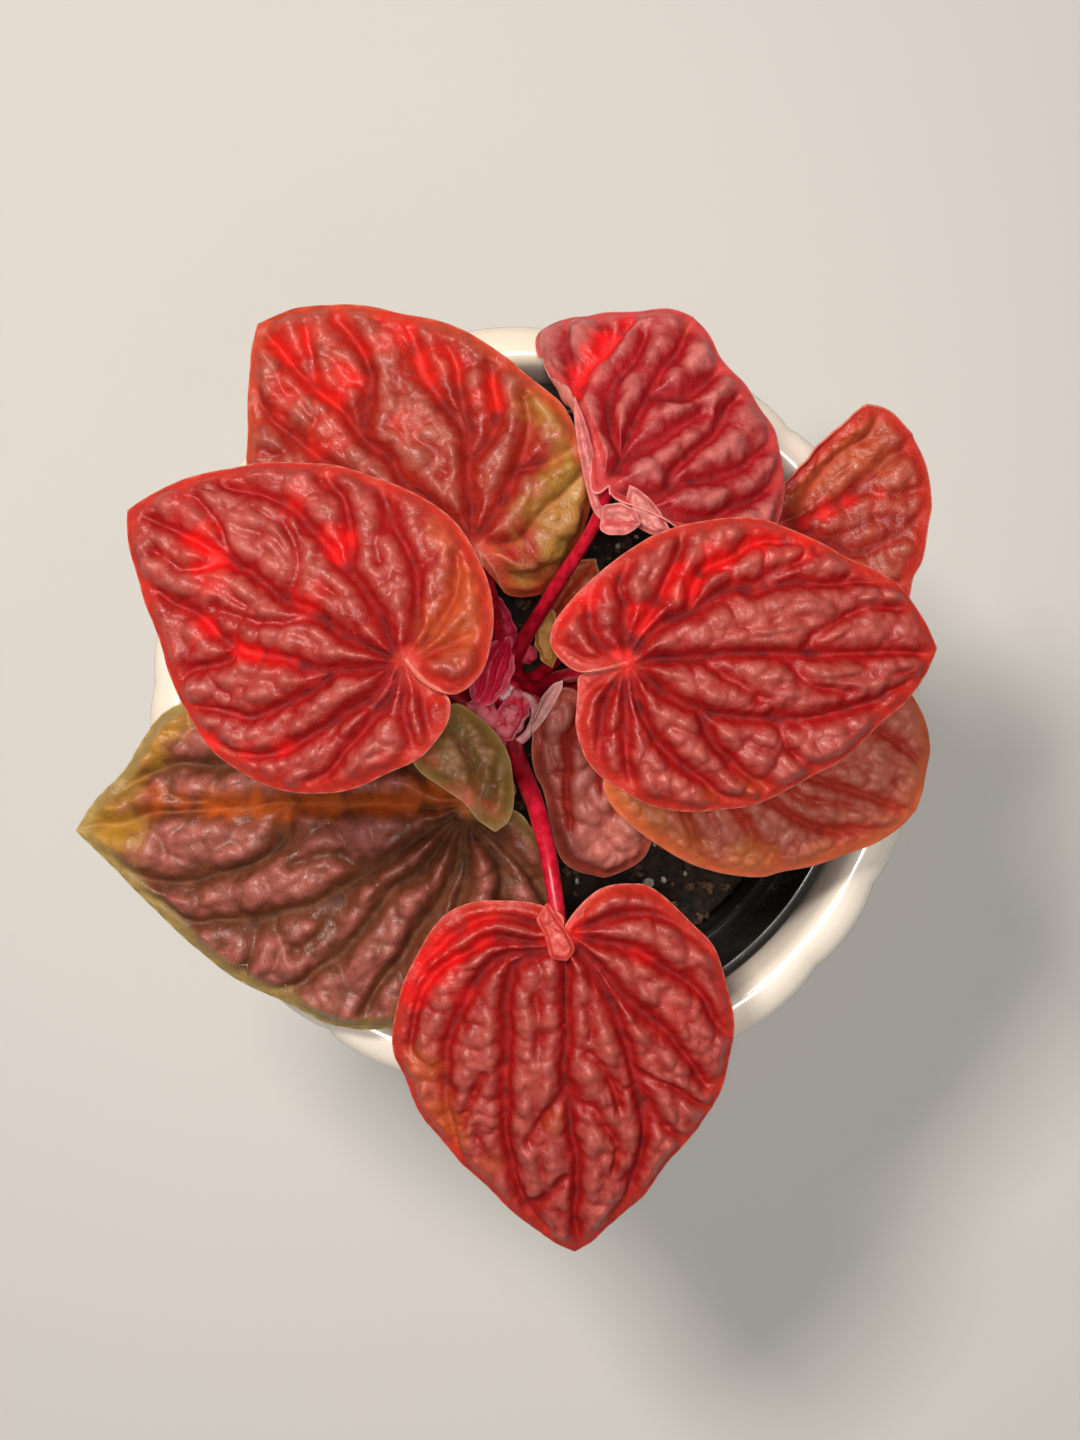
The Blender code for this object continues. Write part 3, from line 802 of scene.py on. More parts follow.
    def patches(self, spots: list[Patch], u: np.ndarray, v: np.ndarray) -> np.ndarray:
        """Lay soft patches with drifted edges over one another.

        Args:
            spots: The patches.
            u: Places along.
            v: Places across.

        Returns:
            Cover from zero to one.
        """
        total = np.zeros(u.shape)
        for spot in spots:
            away = np.hypot(u - spot.at[0], v - spot.at[1]) / spot.radius
            away = away + 0.45 * drift(u, v, 0.9 * spot.radius, 3) + 0.2 * drift(u, v, 1.1, 4)
            total = np.maximum(total, spot.strength * (1.0 - ease(away, 0.3, 1.5)))
        return np.clip(total, 0.0, 1.0)

    def relief(self, u: np.ndarray, v: np.ndarray,
               margin: np.ndarray) -> tuple[np.ndarray, np.ndarray, np.ndarray]:
        """Shape the puckered surface.

        Args:
            u: Places along.
            v: Places across.
            margin: Distance to the margin.

        Returns:
            Height above the plain surface, its share from the bottom of a groove to the top of a lump, which
            sets the painted shade and the painted highlight, and nearness to a vein.
        """
        q = self.quilt
        bend_u = u + q.wander * drift(u, v, q.wander_length, q.seed + 11)
        bend_v = v + q.wander * drift(u, v, q.wander_length, q.seed + 12)
        main, other, out = self.to_lines(self.veins, bend_u, bend_v)
        minor, _, _ = self.to_lines(self.creases, bend_u, bend_v)
        middle = 0.5 * (other - main)
        split = ease(main + other, *q.split_grows) * (1.0 - ease(main + other, *q.split_fades))
        groove = (1.0 - 0.25 * out) * np.exp(-(main / q.flank) ** 1.25)
        crease = np.maximum(0.55 * np.exp(-(minor / (0.7 * q.flank)) ** 2),
                            q.split * split * np.exp(-(middle / (0.6 * q.flank)) ** 2))
        panel = (1.0 - groove) * (1.0 - crease)
        first, second = cells(bend_u, bend_v, q.lump, q.seed)
        crack = np.exp(-((second - first) / 0.2) ** 2)
        lump = np.clip(1.0 - (first / 0.8) ** 2, 0.0, 1.0) * (1.0 - 0.25 * crack)
        first, _ = cells(bend_u, bend_v, q.pebble, q.seed + 5)
        pebble = np.clip(1.0 - (first / 0.75) ** 2, 0.0, 1.0)
        inside = ease(margin, 0.2, q.smooth_margin)
        height = q.rise * panel + q.lump_rise * (0.2 + 0.8 * panel) * lump
        height = height + q.pebble_rise * (0.3 + 0.7 * panel) * pebble
        # The share paints shade into the grooves and cracks and a highlight onto the lumps and pebbles.
        share = np.clip(panel * (0.55 + 0.3 * lump + 0.3 * pebble), 0.0, 1.0)
        share = share * inside + 0.3 * (1.0 - inside)
        height = (height - 0.5 * q.rise) * inside
        nearness = np.exp(-(main / q.vein_width) ** 2) * inside * (1.0 - 0.4 * out)
        return height, share, nearness

    def build(self) -> bpy.types.Object:
        """Make the blade's mesh, with the marks that its skin reads.

        Returns:
            The blade.
        """
        edge = self.outline()
        span = np.ptp(edge, axis=0).max()
        steps = int(round(span / self.cell / 2.0)) * 2
        grid, side = self.lattice(edge, steps)
        u, v = grid[..., 0], grid[..., 1]
        margin, nearest = self.to_margin(edge, u, v)
        tangent = np.gradient(edge, axis=0)
        inward = np.stack([-tangent[:, 1], tangent[:, 0]], axis=-1)
        inward /= np.linalg.norm(inward, axis=-1, keepdims=True) + 1e-9
        arc = np.concatenate([[0.0], np.cumsum(np.linalg.norm(np.diff(edge, axis=0), axis=1))])
        height, share, vein = self.relief(u, v, margin)
        q = self.quilt
        run = arc[nearest]
        wave = np.sin(2 * np.pi * run / q.ruffle_length) + drift(run, run, 4.0, q.seed)
        height = height + q.ruffle * wave * np.exp(-margin / q.ruffle_fade)
        for lift in self.lifts:
            away = np.hypot(u - lift.at[0], v - lift.at[1]) / lift.radius
            height = height + lift.rise * np.exp(-away ** 2) * ease(side * lift.side, 0.0, 0.1)

        points, along, across, normal = self.base(u, v)
        for roll in self.rolls:
            here = np.hypot(edge[:, 0] - roll.at[0], edge[:, 1] - roll.at[1]).argmin()
            way = np.abs(arc - arc[here])
            way = np.minimum(way, arc[-1] - way)
            strength = (0.5 + 0.5 * np.cos(np.pi * np.clip(way / roll.reach, 0.0, 1.0)))[nearest]
            turn = math.radians(abs(roll.turn)) * strength
            inside = np.maximum(roll.width - margin, 0.0)
            mask = (inside > 0.0) & (strength > 0.01)
            line = edge[nearest] + inward[nearest] * roll.width
            at, a, b, n = self.base(line[..., 0], line[..., 1])
            away = -(inward[nearest][..., 0:1] * a + inward[nearest][..., 1:2] * b)
            phi = inside / roll.width * turn
            radius = roll.width / np.sin(np.clip(turn, 1e-3, np.pi / 2))
            sign = 1.0 if roll.turn > 0 else -1.0
            bent = at + away * (radius * np.sin(phi))[..., None] \
                + sign * n * (radius * (1.0 - np.cos(phi)))[..., None]
            leaning = n * np.cos(phi)[..., None] - sign * away * np.sin(phi)[..., None]
            points = np.where(mask[..., None], bent, points)
            normal = np.where(mask[..., None], leaning, normal)

        top = points + normal * (self.clearance + height)[..., None]
        body = self.rim_thickness + (self.thickness - self.rim_thickness) * ease(margin, 0.0, self.full_from)
        under = top - normal * body[..., None]
        size = steps + 1
        border = ([(k, 0) for k in range(steps)] + [(steps, k) for k in range(steps)]
                  + [(k, steps) for k in range(steps, 0, -1)] + [(0, k) for k in range(steps, 0, -1)])
        flat = np.array([i * size + j for i, j in border])
        top, under = top.reshape(-1, 3), under.reshape(-1, 3)
        outward = -(inward[nearest.reshape(-1)[flat]][:, 0:1] * along.reshape(-1, 3)[flat]
                    + inward[nearest.reshape(-1)[flat]][:, 1:2] * across.reshape(-1, 3)[flat])
        rim = 0.5 * (top[flat] + under[flat]) + outward * 0.3 * self.rim_thickness
        number = np.arange(size * size).reshape(size, size)
        quads = np.stack([number[:-1, :-1], number[1:, :-1], number[1:, 1:], number[:-1, 1:]], axis=-1)
        quads = quads.reshape(-1, 4)
        count = size * size
        ring = np.arange(len(flat)) + 2 * count
        faces = quads.tolist() + (quads[:, ::-1] + count).tolist()
        after, ring_after = np.roll(flat, -1), np.roll(ring, -1)
        faces += np.stack([flat, ring, ring_after, after], axis=-1).tolist()
        faces += np.stack([ring, flat + count, after + count, ring_after], axis=-1).tolist()

        def both(values: np.ndarray, other: np.ndarray | None = None) -> np.ndarray:
            """Repeat a mark for the top, the underside and the rim.

            Args:
                values: The mark on the top.
                other: The mark on the underside, if it differs.

            Returns:
                The mark of every vertex.
            """
            line = values.reshape(-1)
            below = line if other is None else other.reshape(-1)
            return np.concatenate([line, below, line[flat]])

        marks = {
            # The relief mark sets the painted shade in the grooves and the painted highlight on the lumps.
            "relief": both(share), "vein": both(vein), "edge": both(margin),
            # Painted light shining through the blade, stronger in the grooves.
            "painted_backlight": both(self.patches(self.painted_backlights, u, v) * (1.15 - 0.75 * share)),
            "warm": both(self.patches(self.warms, u, v)),
            "skin": both(np.full(u.shape, Skin.TOP.value), np.full(u.shape, Skin.UNDER.value)),
        }
        return mesh_object(self.name, np.vstack([top, under, rim]), faces, material_of(self.skin), marks)

    def dress(self, *nodes: str) -> None:
        """Build the blade and let it stand for its CAD nodes, if it has any."""
        seat(self.build(), self.slot, *nodes)


MADE: dict[str, bpy.types.Material] = {}


def material_of(finish: Finish) -> bpy.types.Material:
    """Find a finish's material, which is made once.

    Args:
        finish: The finish.

    Returns:
        The material.
    """
    if finish.name not in MADE:
        MADE[finish.name] = finish.material()
    return MADE[finish.name]


@dataclass(frozen=True)
class Stalk:
    """A petiole: where it leaves the crown, the points it passes and how thick it is."""

    name: str
    side: float
    height: float
    through: list[Place]
    radii: Pair
    groove: float = 0.14
    sunk: float = 0.6
    foot_flare: Pair = (0.35, 0.05)
    joint_flare: Pair = (0.25, 0.03)

    def path(self, crown: "Crown", joint: Place) -> tuple[np.ndarray, np.ndarray]:
        """Find the stalk's middle line.

        Args:
            crown: The stem it grows from.
            joint: The blade's joint.

        Returns:
            Points from the crown to the blade, and the radius at each.
        """
        turn = math.radians(self.side)
        start_reach = crown.radius_at(self.height) - self.sunk
        bend_reach = crown.radius_at(self.height) + 0.3 + self.radii[0]
        x, y = crown.axis
        root = (x + start_reach * math.cos(turn), y + start_reach * math.sin(turn), self.height - 1.6)
        bend = (x + bend_reach * math.cos(turn), y + bend_reach * math.sin(turn), self.height + 0.4)
        end = (joint[0], joint[1], joint[2] - 0.7)
        points = smooth_path([root, bend] + self.through + [end], STALK_POINTS)
        share = np.linspace(0.0, 1.0, STALK_POINTS)
        radius = self.radii[0] + (self.radii[1] - self.radii[0]) * share
        (foot, foot_reach), (tip, tip_reach) = self.foot_flare, self.joint_flare
        flare = 1.0 + foot * np.exp(-(share / foot_reach) ** 2)
        return points, radius * (flare + tip * np.exp(-((1.0 - share) / tip_reach) ** 2))


def sweep_tree() -> bpy.types.NodeTree:
    """Build the tree that sweeps a grooved round section along a path.

    Returns:
        A tree whose path carries its thickness in metres as an attribute.
    """
    tree, entry = geometry_tree("stalk_sweep", {"Sides": "Int", "Groove": "Float", "Lumps": "Float"})
    curve = add(tree, "GeometryNodeMeshToCurve", None, {"Mesh": entry.outputs["Geometry"]})
    upright = add(tree, "GeometryNodeSetCurveNormal", {"mode": "Z_UP"}, {"Curve": curve})
    thickness = add(tree, "GeometryNodeInputNamedAttribute", {"data_type": "FLOAT"}, {"Name": "thickness"})
    circle = add(tree, "GeometryNodeCurvePrimitiveCircle", None,
                 {"Resolution": entry.outputs["Sides"], "Radius": 1.0})
    split = add(tree, "ShaderNodeSeparateXYZ", None, {"Vector": add(tree, "GeometryNodeInputPosition")})
    near = add(tree, "ShaderNodeMapRange", {"interpolation_type": "SMOOTHSTEP"},
               {"Value": split.outputs["Y"], "From Min": 0.55, "From Max": 1.0})
    depth = add(tree, "ShaderNodeMath", {"operation": "MULTIPLY"}, {0: near, 1: entry.outputs["Groove"]})
    depth = add(tree, "ShaderNodeMath", {"operation": "MULTIPLY"}, {0: depth, 1: -1.0})
    notch = add(tree, "ShaderNodeCombineXYZ", None, {"Y": depth})
    section = add(tree, "GeometryNodeSetPosition", None,
                  {"Geometry": circle.outputs["Curve"], "Offset": notch})
    swept = add(tree, "GeometryNodeCurveToMesh", None, {
        "Curve": upright, "Profile Curve": section, "Scale": thickness, "Fill Caps": True})
    rough = add(tree, "ShaderNodeTexNoise", None, {"Scale": 420.0, "Detail": 2.0})
    push = add(tree, "ShaderNodeMath", {"operation": "SUBTRACT"}, {0: rough, 1: 0.5})
    push = add(tree, "ShaderNodeMath", {"operation": "MULTIPLY"}, {0: push, 1: entry.outputs["Lumps"]})
    offset = add(tree, "ShaderNodeVectorMath", {"operation": "SCALE"},
                 {0: add(tree, "GeometryNodeInputNormal"), "Scale": push})
    uneven = add(tree, "GeometryNodeSetPosition", None, {"Geometry": swept, "Offset": offset})
    return end_tree(tree, entry, add(tree, "GeometryNodeSetShadeSmooth", None,
                                     {"Geometry": uneven, "Shade Smooth": True}))


def crumb_tree() -> bpy.types.NodeTree:
    """Build the tree that strews uneven grains over the upper faces of a surface.

    Returns:
        The tree.
    """
    tree, entry = geometry_tree("strewn_grains", {
        "Density": "Float", "Smallest": "Float", "Largest": "Float", "Unevenness": "Float", "Seed": "Int"})
    facing = add(tree, "ShaderNodeSeparateXYZ", None, {"Vector": add(tree, "GeometryNodeInputNormal")})
    upper = add(tree, "FunctionNodeCompare", {"data_type": "FLOAT", "operation": "GREATER_THAN"},
                {"A": facing.outputs["Z"], "B": 0.3})
    spots = add(tree, "GeometryNodeDistributePointsOnFaces", {"distribute_method": "RANDOM"}, {
        "Mesh": entry.outputs["Geometry"], "Selection": upper, "Density": entry.outputs["Density"],
        "Seed": entry.outputs["Seed"]})
    pebble = add(tree, "GeometryNodeMeshIcoSphere", None, {"Radius": 1.0, "Subdivisions": 1})
    turn = add(tree, "FunctionNodeRandomValue", {"data_type": "FLOAT_VECTOR"},
               {"Min": (0.0, 0.0, 0.0), "Max": (FULL_TURN,) * 3, "Seed": entry.outputs["Seed"]})
    size = add(tree, "FunctionNodeRandomValue", {"data_type": "FLOAT"}, {
        "Min": entry.outputs["Smallest"], "Max": entry.outputs["Largest"], "Seed": entry.outputs["Seed"]})
    shape = add(tree, "FunctionNodeRandomValue", {"data_type": "FLOAT_VECTOR"},
                {"Min": (0.55, 0.55, 0.45), "Max": (1.2, 1.0, 0.8), "Seed": entry.outputs["Seed"]})
    scale = add(tree, "ShaderNodeVectorMath", {"operation": "SCALE"}, {0: shape, "Scale": size})
    strewn = add(tree, "GeometryNodeInstanceOnPoints", None, {
        "Points": spots.outputs["Points"], "Instance": pebble.outputs["Mesh"], "Rotation": turn,
        "Scale": scale})
    plain = add(tree, "GeometryNodeRealizeInstances", None, {"Geometry": strewn})
    rough = add(tree, "ShaderNodeTexNoise", None, {"Scale": 900.0, "Detail": 1.0})
    push = add(tree, "ShaderNodeVectorMath", {"operation": "SUBTRACT"},
               {0: rough.outputs["Color"], 1: (0.5, 0.5, 0.5)})
    push = add(tree, "ShaderNodeVectorMath", {"operation": "SCALE"},
               {0: push, "Scale": entry.outputs["Unevenness"]})
    uneven = add(tree, "GeometryNodeSetPosition", None, {"Geometry": plain, "Offset": push})
    return end_tree(tree, entry, add(tree, "GeometryNodeSetShadeSmooth", None,
                                     {"Geometry": uneven, "Shade Smooth": True}))


def hair_tree() -> bpy.types.NodeTree:
    """Build the tree that stands fine tapering hairs along a path.

    Returns:
        The tree.
    """
    tree, entry = geometry_tree("margin_hairs", {
        "Count": "Int", "Radius": "Float", "Shortest": "Float", "Longest": "Float", "Seed": "Int"})
    curve = add(tree, "GeometryNodeMeshToCurve", None, {"Mesh": entry.outputs["Geometry"]})
    spots = add(tree, "GeometryNodeCurveToPoints", {"mode": "COUNT"},
                {"Curve": curve, "Count": entry.outputs["Count"]})
    hair = add(tree, "GeometryNodeMeshCone", None, {
        "Vertices": 5, "Radius Top": 0.0, "Radius Bottom": entry.outputs["Radius"], "Depth": 1.0})
    lean = add(tree, "FunctionNodeRandomValue", {"data_type": "FLOAT_VECTOR"},
               {"Min": (-1.5, -1.5, -3.1), "Max": (1.5, 1.5, 3.1), "Seed": entry.outputs["Seed"]})
    length = add(tree, "FunctionNodeRandomValue", {"data_type": "FLOAT"}, {
        "Min": entry.outputs["Shortest"], "Max": entry.outputs["Longest"], "Seed": entry.outputs["Seed"]})
    scale = add(tree, "ShaderNodeCombineXYZ", None, {"X": 1.0, "Y": 1.0, "Z": length.outputs[1]})
    stood = add(tree, "GeometryNodeInstanceOnPoints", None, {
        "Points": spots.outputs["Points"], "Instance": hair.outputs["Mesh"], "Rotation": lean.outputs[0],
        "Scale": scale})
    return end_tree(tree, entry, stood)


BLADES = [
    Blade(
        "leaf_front", (4.0, -34.5, 129.0), -87.0, 51.5, 0.10, 0.0045, (0.006, 0.006), 0.02,
        left=[(-1.2, 0.4), (-3.2, 1.8), (-5.6, 4.2), (-7.2, 7), (-7.5, 11), (-6.5, 14.5), (-0.5, 20.5),
              (3.5, 23.5), (11.5, 25.5), (19, 25.5), (28.5, 22), (35.5, 16), (42, 11), (47, 5.5)],
        right=[(-1.2, 0.2), (-3.2, 0.6), (-4.6, -1.6), (-5.6, -4.4), (-6, -8.5), (-6, -13), (-4, -17.5),
               (1, -21.5), (8, -25), (14.5, -26.5), (20, -25.5), (28.5, -22), (37.5, -15), (47.5, -6)],
        veins=[
            [(1, 0), (16.5, 0), (26.5, 0.5), (41.5, 0.5), (50.5, 0.5)],
            [(2, -1.5), (4.5, -7.5), (13, -8.5), (24, -9.5), (34.5, -9.5), (42.5, -7.5), (47, -5)],
            [(2, -2), (3, -9.5), (7.5, -13.5), (13.5, -17), (20, -18.5), (27, -18.5), (33.5, -17)],
            [(1, -2.5), (0, -11), (4, -18.5), (10, -22), (16.5, -23.5)],
            [(-2, -2.5), (-4, -9), (-2.5, -15), (1.5, -20), (8, -23.5)],
            [(1, 0.5), (2.5, 2.5), (8.5, 6), (17, 9.5), (25.5, 11), (33.5, 11), (41, 8.5), (45.5, 6)],
            [(0.5, 1.5), (1, 2.5), (8.5, 8), (13.5, 13.5), (18.5, 18), (24, 21)],
            [(0, 2), (0, 4), (2.5, 10.5), (6, 16), (11, 21), (15.5, 24.5)],
            [(-1, 2.5), (-2.5, 6.5), (-3, 12.5), (-0.5, 18), (3.5, 23)],
        ],
        creases=[
            [(24, -1), (27, -3.5), (31, -6)], [(25, 1.5), (27.5, 5), (32, 7), (37, 6)],
            [(18, 3.5), (23, 6.5), (26.5, 7.5)], [(20.5, -13), (24.5, -15), (28.5, -16)],
            [(25.5, 11), (30, 15), (33, 18)], [(21.5, 11.5), (25.5, 17.5), (28, 21)],
            [(42.5, -7.5), (41, -3.5), (38, -1.5)],
        ],
        painted_backlights=[Patch((7, -22), 4.0, 0.8), Patch((2.5, -19), 4.5, 0.9), Patch((-2, -12), 3.5, 0.7),
               Patch((8, -16), 3.5, 0.5), Patch((4, 12), 3.0, 0.45), Patch((11, 18), 3.5, 0.4),
               Patch((-1, 0), 3.0, 0.7)],
        warms=[Patch((28, -20), 4.4, 0.9), Patch((28.5, -2.5), 2.2, 0.5), Patch((19, -23), 4.0, 0.7),
               Patch((36, -14), 3.2, 0.6)],
        quilt=Quilt(seed=3)),
    Blade(
        "leaf_left", (-18.0, 7.0, 148.0), 152.0, 47.3, 0.14, 0.002, (0.007, 0.006), 0.01,
        left=[(-2.0, 0.8), (-4.0, 1.4), (-6.2, 1.5), (-8.2, 2.4), (-9.2, 5.0), (-9, 8), (-8, 11.5),
              (-5, 15.5), (-2, 19.5), (2, 22.5), (7.5, 25), (16.5, 25.5), (22, 23.5), (26.5, 21),
              (31.5, 16.5), (36, 12.5), (40.5, 8.5),
              (44.5, 4.5)],
        right=[(-2.0, 0.9), (-4.0, 1.7), (-6.4, 1.7), (-8.4, 0.9), (-9.8, -1.6), (-10, -5.2), (-8, -11),
               (-4, -16), (2, -20), (7, -21.5), (12.5, -21.5), (18, -21), (24, -19.5), (31.5, -16),
               (38.5, -11), (44.5, -5)],
        veins=[
            [(0.5, 0.5), (7.5, 0.5), (13, 0.5), (22.5, 0), (29, -0.5), (35.5, -0.5), (44, 0)],
            [(1, 0), (9, -5.5), (15, -8.5), (20, -10), (25, -11), (30.5, -11), (36, -10)],
            [(13, -8), (15, -12), (18.5, -15), (23, -17.5)],
            [(0.5, -0.5), (1.5, -5), (3.5, -9.5), (7.5, -14), (13, -17.5), (17, -20)],
            [(0, 0), (-1.5, -6.5), (-2, -11), (0.5, -16)],
            [(-0.5, 0), (-3, -3.5), (-6.5, -7.5)],
            [(1, 1), (5.5, 4.5), (10.5, 7), (16, 8.5), (23, 9.5), (28, 9), (36.5, 8)],
            [(23, 9.5), (23.5, 12.5), (27.5, 16.5)],
            [(1.5, 2), (2, 7), (4.5, 11.5), (7, 15.5), (10, 19.5), (14.5, 23), (20, 24)],
            [(9, 7), (10.5, 10.5), (13, 14), (17, 18), (24, 20)],
            [(0.5, 1.5), (0, 6), (0.5, 12), (2.5, 18), (4.5, 22)],
            [(0, 1.5), (-2, 5), (-4.5, 9), (-6.5, 11)],
            [(-1, 1), (-3.5, 2.5), (-6, 5.5), (-8, 8)],
        ],
        creases=[[(13, 0.5), (20, 5), (28.5, 7)], [(18.5, 0), (20.5, -5.5), (25, -8.5)],
                 [(29, -0.5), (33, -4), (38, -6)], [(30, -1), (34, 3), (40, 4)]],
        painted_backlights=[Patch((34.5, -2.5), 3.6, 1.0), Patch((30, 3), 3.4, 0.9), Patch((16, -1.5), 2.6, 0.8),
               Patch((16.5, -10.5), 2.8, 0.9), Patch((16, 8.5), 2.2, 0.6), Patch((21.5, 9.5), 2.4, 0.8),
               Patch((28, 9.5), 2.4, 0.8), Patch((20.5, 24), 2.2, 0.6), Patch((15, 22.5), 2.2, 0.7),
               Patch((10, 19.5), 2.0, 0.6), Patch((25, -13), 2.6, 0.7), Patch((40, -4), 3.0, 0.7)],
        warms=[Patch((-7, -8), 6.5, 0.9), Patch((-4, -15), 6.0, 0.8), Patch((3, -20), 4.5, 0.6)],
        lifts=[Lift((-5, 1), 4.0, 0.9, -1.0), Lift((-5, 2), 3.5, -0.9, 1.0)],
        quilt=Quilt(seed=7)),
    Blade(
        "leaf_back_left", (-8.3, 24.2, 126.0), 134.0, 50.0, 0.08, 0.001, (0.006, 0.002), 0.085,
        left=[(-1.5, 1), (-4, 3), (-5.5, 7), (-1, 12.5), (4, 15.5), (9.5, 18), (19, 20), (29.5, 19),
              (35, 16.5), (38.5, 13), (41.5, 10), (45.5, 6)],
        right=[(-1.5, 0), (-4, 0.5), (-6.5, 1.5), (-9, 0), (-10.5, -4), (-10, -9), (-8, -14), (-5.5, -18.5),
               (-2.5, -21), (6, -24.5), (11, -24.5), (16.5, -24), (23, -23), (28, -21.5), (33, -18.5),
               (41, -13), (47, -6.5)],
        veins=[
            [(1.5, 0), (12.5, 0), (16, 0.5), (26, 0), (31, 0), (36.5, 0.5), (48, 0)],
            [(2, -0.5), (6, -4), (11, -8.5), (19, -12), (26, -12.5), (32, -15.5)],
            [(11.5, -9), (18.5, -14), (22.5, -16.5), (26.5, -18)],
            [(11.5, -9.5), (11.5, -13.5), (14, -17.5), (19, -21)],
            [(1.5, -0.5), (3, -8), (5, -13.5), (8.5, -18.5), (12, -21.5)],
            [(4.5, -13), (2.5, -16.5), (1.5, -21.5)],
            [(0, 0), (-2.5, -5.5), (-2, -12), (-2, -18.5)],
            [(-1, 0.5), (-6, -2), (-8.5, -6.5)],
            [(26.5, -0.5), (29.5, -4.5), (32, -7.5), (35.5, -9), (41, -9)],
            [(1.5, 0.5), (13, 4.5), (25.5, 7), (31.5, 8), (36.5, 9), (42, 7.5)],
            [(1, 1), (9.5, 8), (21.5, 13.5), (30.5, 15)],
            [(0, 1.5), (2, 8.5), (7.5, 14)],
        ],
        creases=[[(36.5, 0.5), (39, -2.5), (43, -4.5)]],
        painted_backlights=[Patch((34, -3.5), 4.6, 1.0), Patch((43.5, -1.5), 3.6, 1.0), Patch((25, -15.5), 4.0, 0.8),
               Patch((16, -18), 3.4, 0.7), Patch((33.5, -12), 4.4, 0.9), Patch((40, -6), 4.0, 0.8),
               Patch((30, 4), 4.0, 0.6), Patch((22, -5), 3.6, 0.6), Patch((38, 5), 4.0, 0.7)],
        warms=[Patch((-2, -20), 7.0, 1.0), Patch((-9, -8), 6.0, 1.0), Patch((-8, -1), 5.0, 0.8),
               Patch((8, -24), 7.0, 0.7), Patch((-4, -13), 6.0, 0.7)],
        quilt=Quilt(rise=2.6, flank=1.8, lump=4.6, lump_rise=1.4, seed=11), skin=ORANGE_SKIN,
        slot="leaf_orange", cell=0.46),
    Blade(
        "leaf_back", (11.0, 33.0, 134.0), 64.0, 31.0, 0.45, 0.0, (0.036, 0.008), 0.01,
        left=[(-1.5, 0.8), (-1.5, 2.0), (0, 3.0), (3.5, 5.0), (8.5, 10), (11, 14), (14.5, 18), (18.5, 20.5),
              (21.5, 20), (24, 17.5), (26, 13), (28.5, 8), (30.5, 4)],
        right=[(-1.5, -1.5), (-1.5, -6.5), (-2, -12), (-2, -17), (-0.5, -22), (4, -25), (9.5, -25),
               (14.5, -23.5), (18.5, -20.5), (21.5, -17.5), (24.5, -12.5), (26.5, -7.5), (29.5, -3.5)],
        veins=[
            [(0, 0), (6, 0.5), (11, 0.5), (17.5, 0.5), (23.5, 0.5), (29, 0)],
            [(-0.5, 0.5), (2.5, 3.5), (5.5, 7), (9.5, 10), (15.5, 11), (19.5, 10), (26, 8)],
            [(0, 0), (5, 0.5), (8.5, 3.5), (11.5, 5.5), (16, 6), (20, 4.5), (24.5, 4.5)],
            [(2.5, 0), (6, -0.5), (9.5, -3), (12.5, -4.5), (17.5, -7.5)],
            [(-0.5, -0.5), (1.5, -4.5), (3.5, -8), (7, -8), (12, -9.5), (16.5, -10.5), (22, -11.5)],
            [(-1, -1), (1, -6), (5, -9.5), (8, -13), (11, -16), (15, -18), (19, -19.5)],
            [(-2, -2.5), (0, -7.5), (1.5, -13), (3.5, -16.5), (7.5, -19), (11.5, -21.5), (14.5, -23)],
            [(16, 0.5), (18.5, -3.5), (22.5, -6), (26, -7.5)],
        ],
        creases=[[(11, 10.5), (17, 14.5), (24, 17.5)], [(20, 10.5), (24, 11.5), (26, 13.5)]],
        rolls=[Roll((9, 10.5), 12.0, 2.4, 150.0), Roll((-2, -8), 8.0, 2.2, 70.0)],
        painted_backlights=[Patch((11.5, 10), 2.6, 1.0), Patch((15, 10.5), 2.6, 1.0), Patch((18.5, 10), 2.6, 1.0),
               Patch((22, 9.5), 2.4, 0.9), Patch((25.5, 9), 2.2, 0.7), Patch((7, 8.5), 2.0, 0.7)],
        warms=[Patch((29.5, 0.5), 1.6, 0.6)],
        quilt=Quilt(rise=3.0, flank=1.8, split=0.0, lump=4.6, lump_rise=0.7, pebble=2.4, pebble_rise=0.4,
                    seed=13),
        skin=ROSE_SKIN),
    Blade(
        "leaf_far_right", (38.7, 28.4, 113.0), 36.0, 26.3, 0.0, 0.0, (-0.03, 0.0), 0.0,
        left=[(-0.5, 0.8), (0.5, 3), (4, 6), (10.5, 7.5), (18.5, 8.5), (21, 8.5), (23, 8), (25.5, 5)],
        right=[(-2.5, -2), (-3.5, -7), (-2.5, -13.5), (0.5, -19), (5.5, -21.5), (10, -21), (13, -18.5),
               (16, -17), (20, -13), (22.5, -10.5), (25, -5.5)],
        veins=[
            [(0.5, 0), (4.5, -1), (12.5, -2), (20.5, -1), (26, -1)],
            [(1, 1), (6, 2), (12.5, 3.5), (19, 4.5), (24, 5.5)],
            [(3.5, -1), (6.5, -7.5), (8.5, -10.5), (15.5, -11.5), (21, -11.5)],
            [(0, -1.5), (2, -10), (6, -15.5), (12, -19)],
        ],
        creases=[[(12.5, -2.5), (17, -6), (23, -8.5)], [(5, -6), (11, -7), (16, -9)]],
        rolls=[Roll((10.5, 7.5), 13.0, 2.2, 75.0)],
        painted_backlights=[Patch((8, -2), 2.2, 0.8), Patch((12, -2.5), 2.0, 0.7), Patch((16, -5), 2.2, 0.6),
               Patch((4, -1), 1.6, 0.6)],
        warms=[Patch((16, 4), 4.0, 0.9), Patch((21, 5), 4.0, 0.8), Patch((10, 3), 4.0, 0.9),
               Patch((5, 2), 3.0, 0.8), Patch((20, -2), 2.6, 0.7)],
        quilt=Quilt(rise=1.2, lump_rise=0.9, seed=17), skin=CORAL_SKIN,
        slot="leaf_orange"),
    Blade(
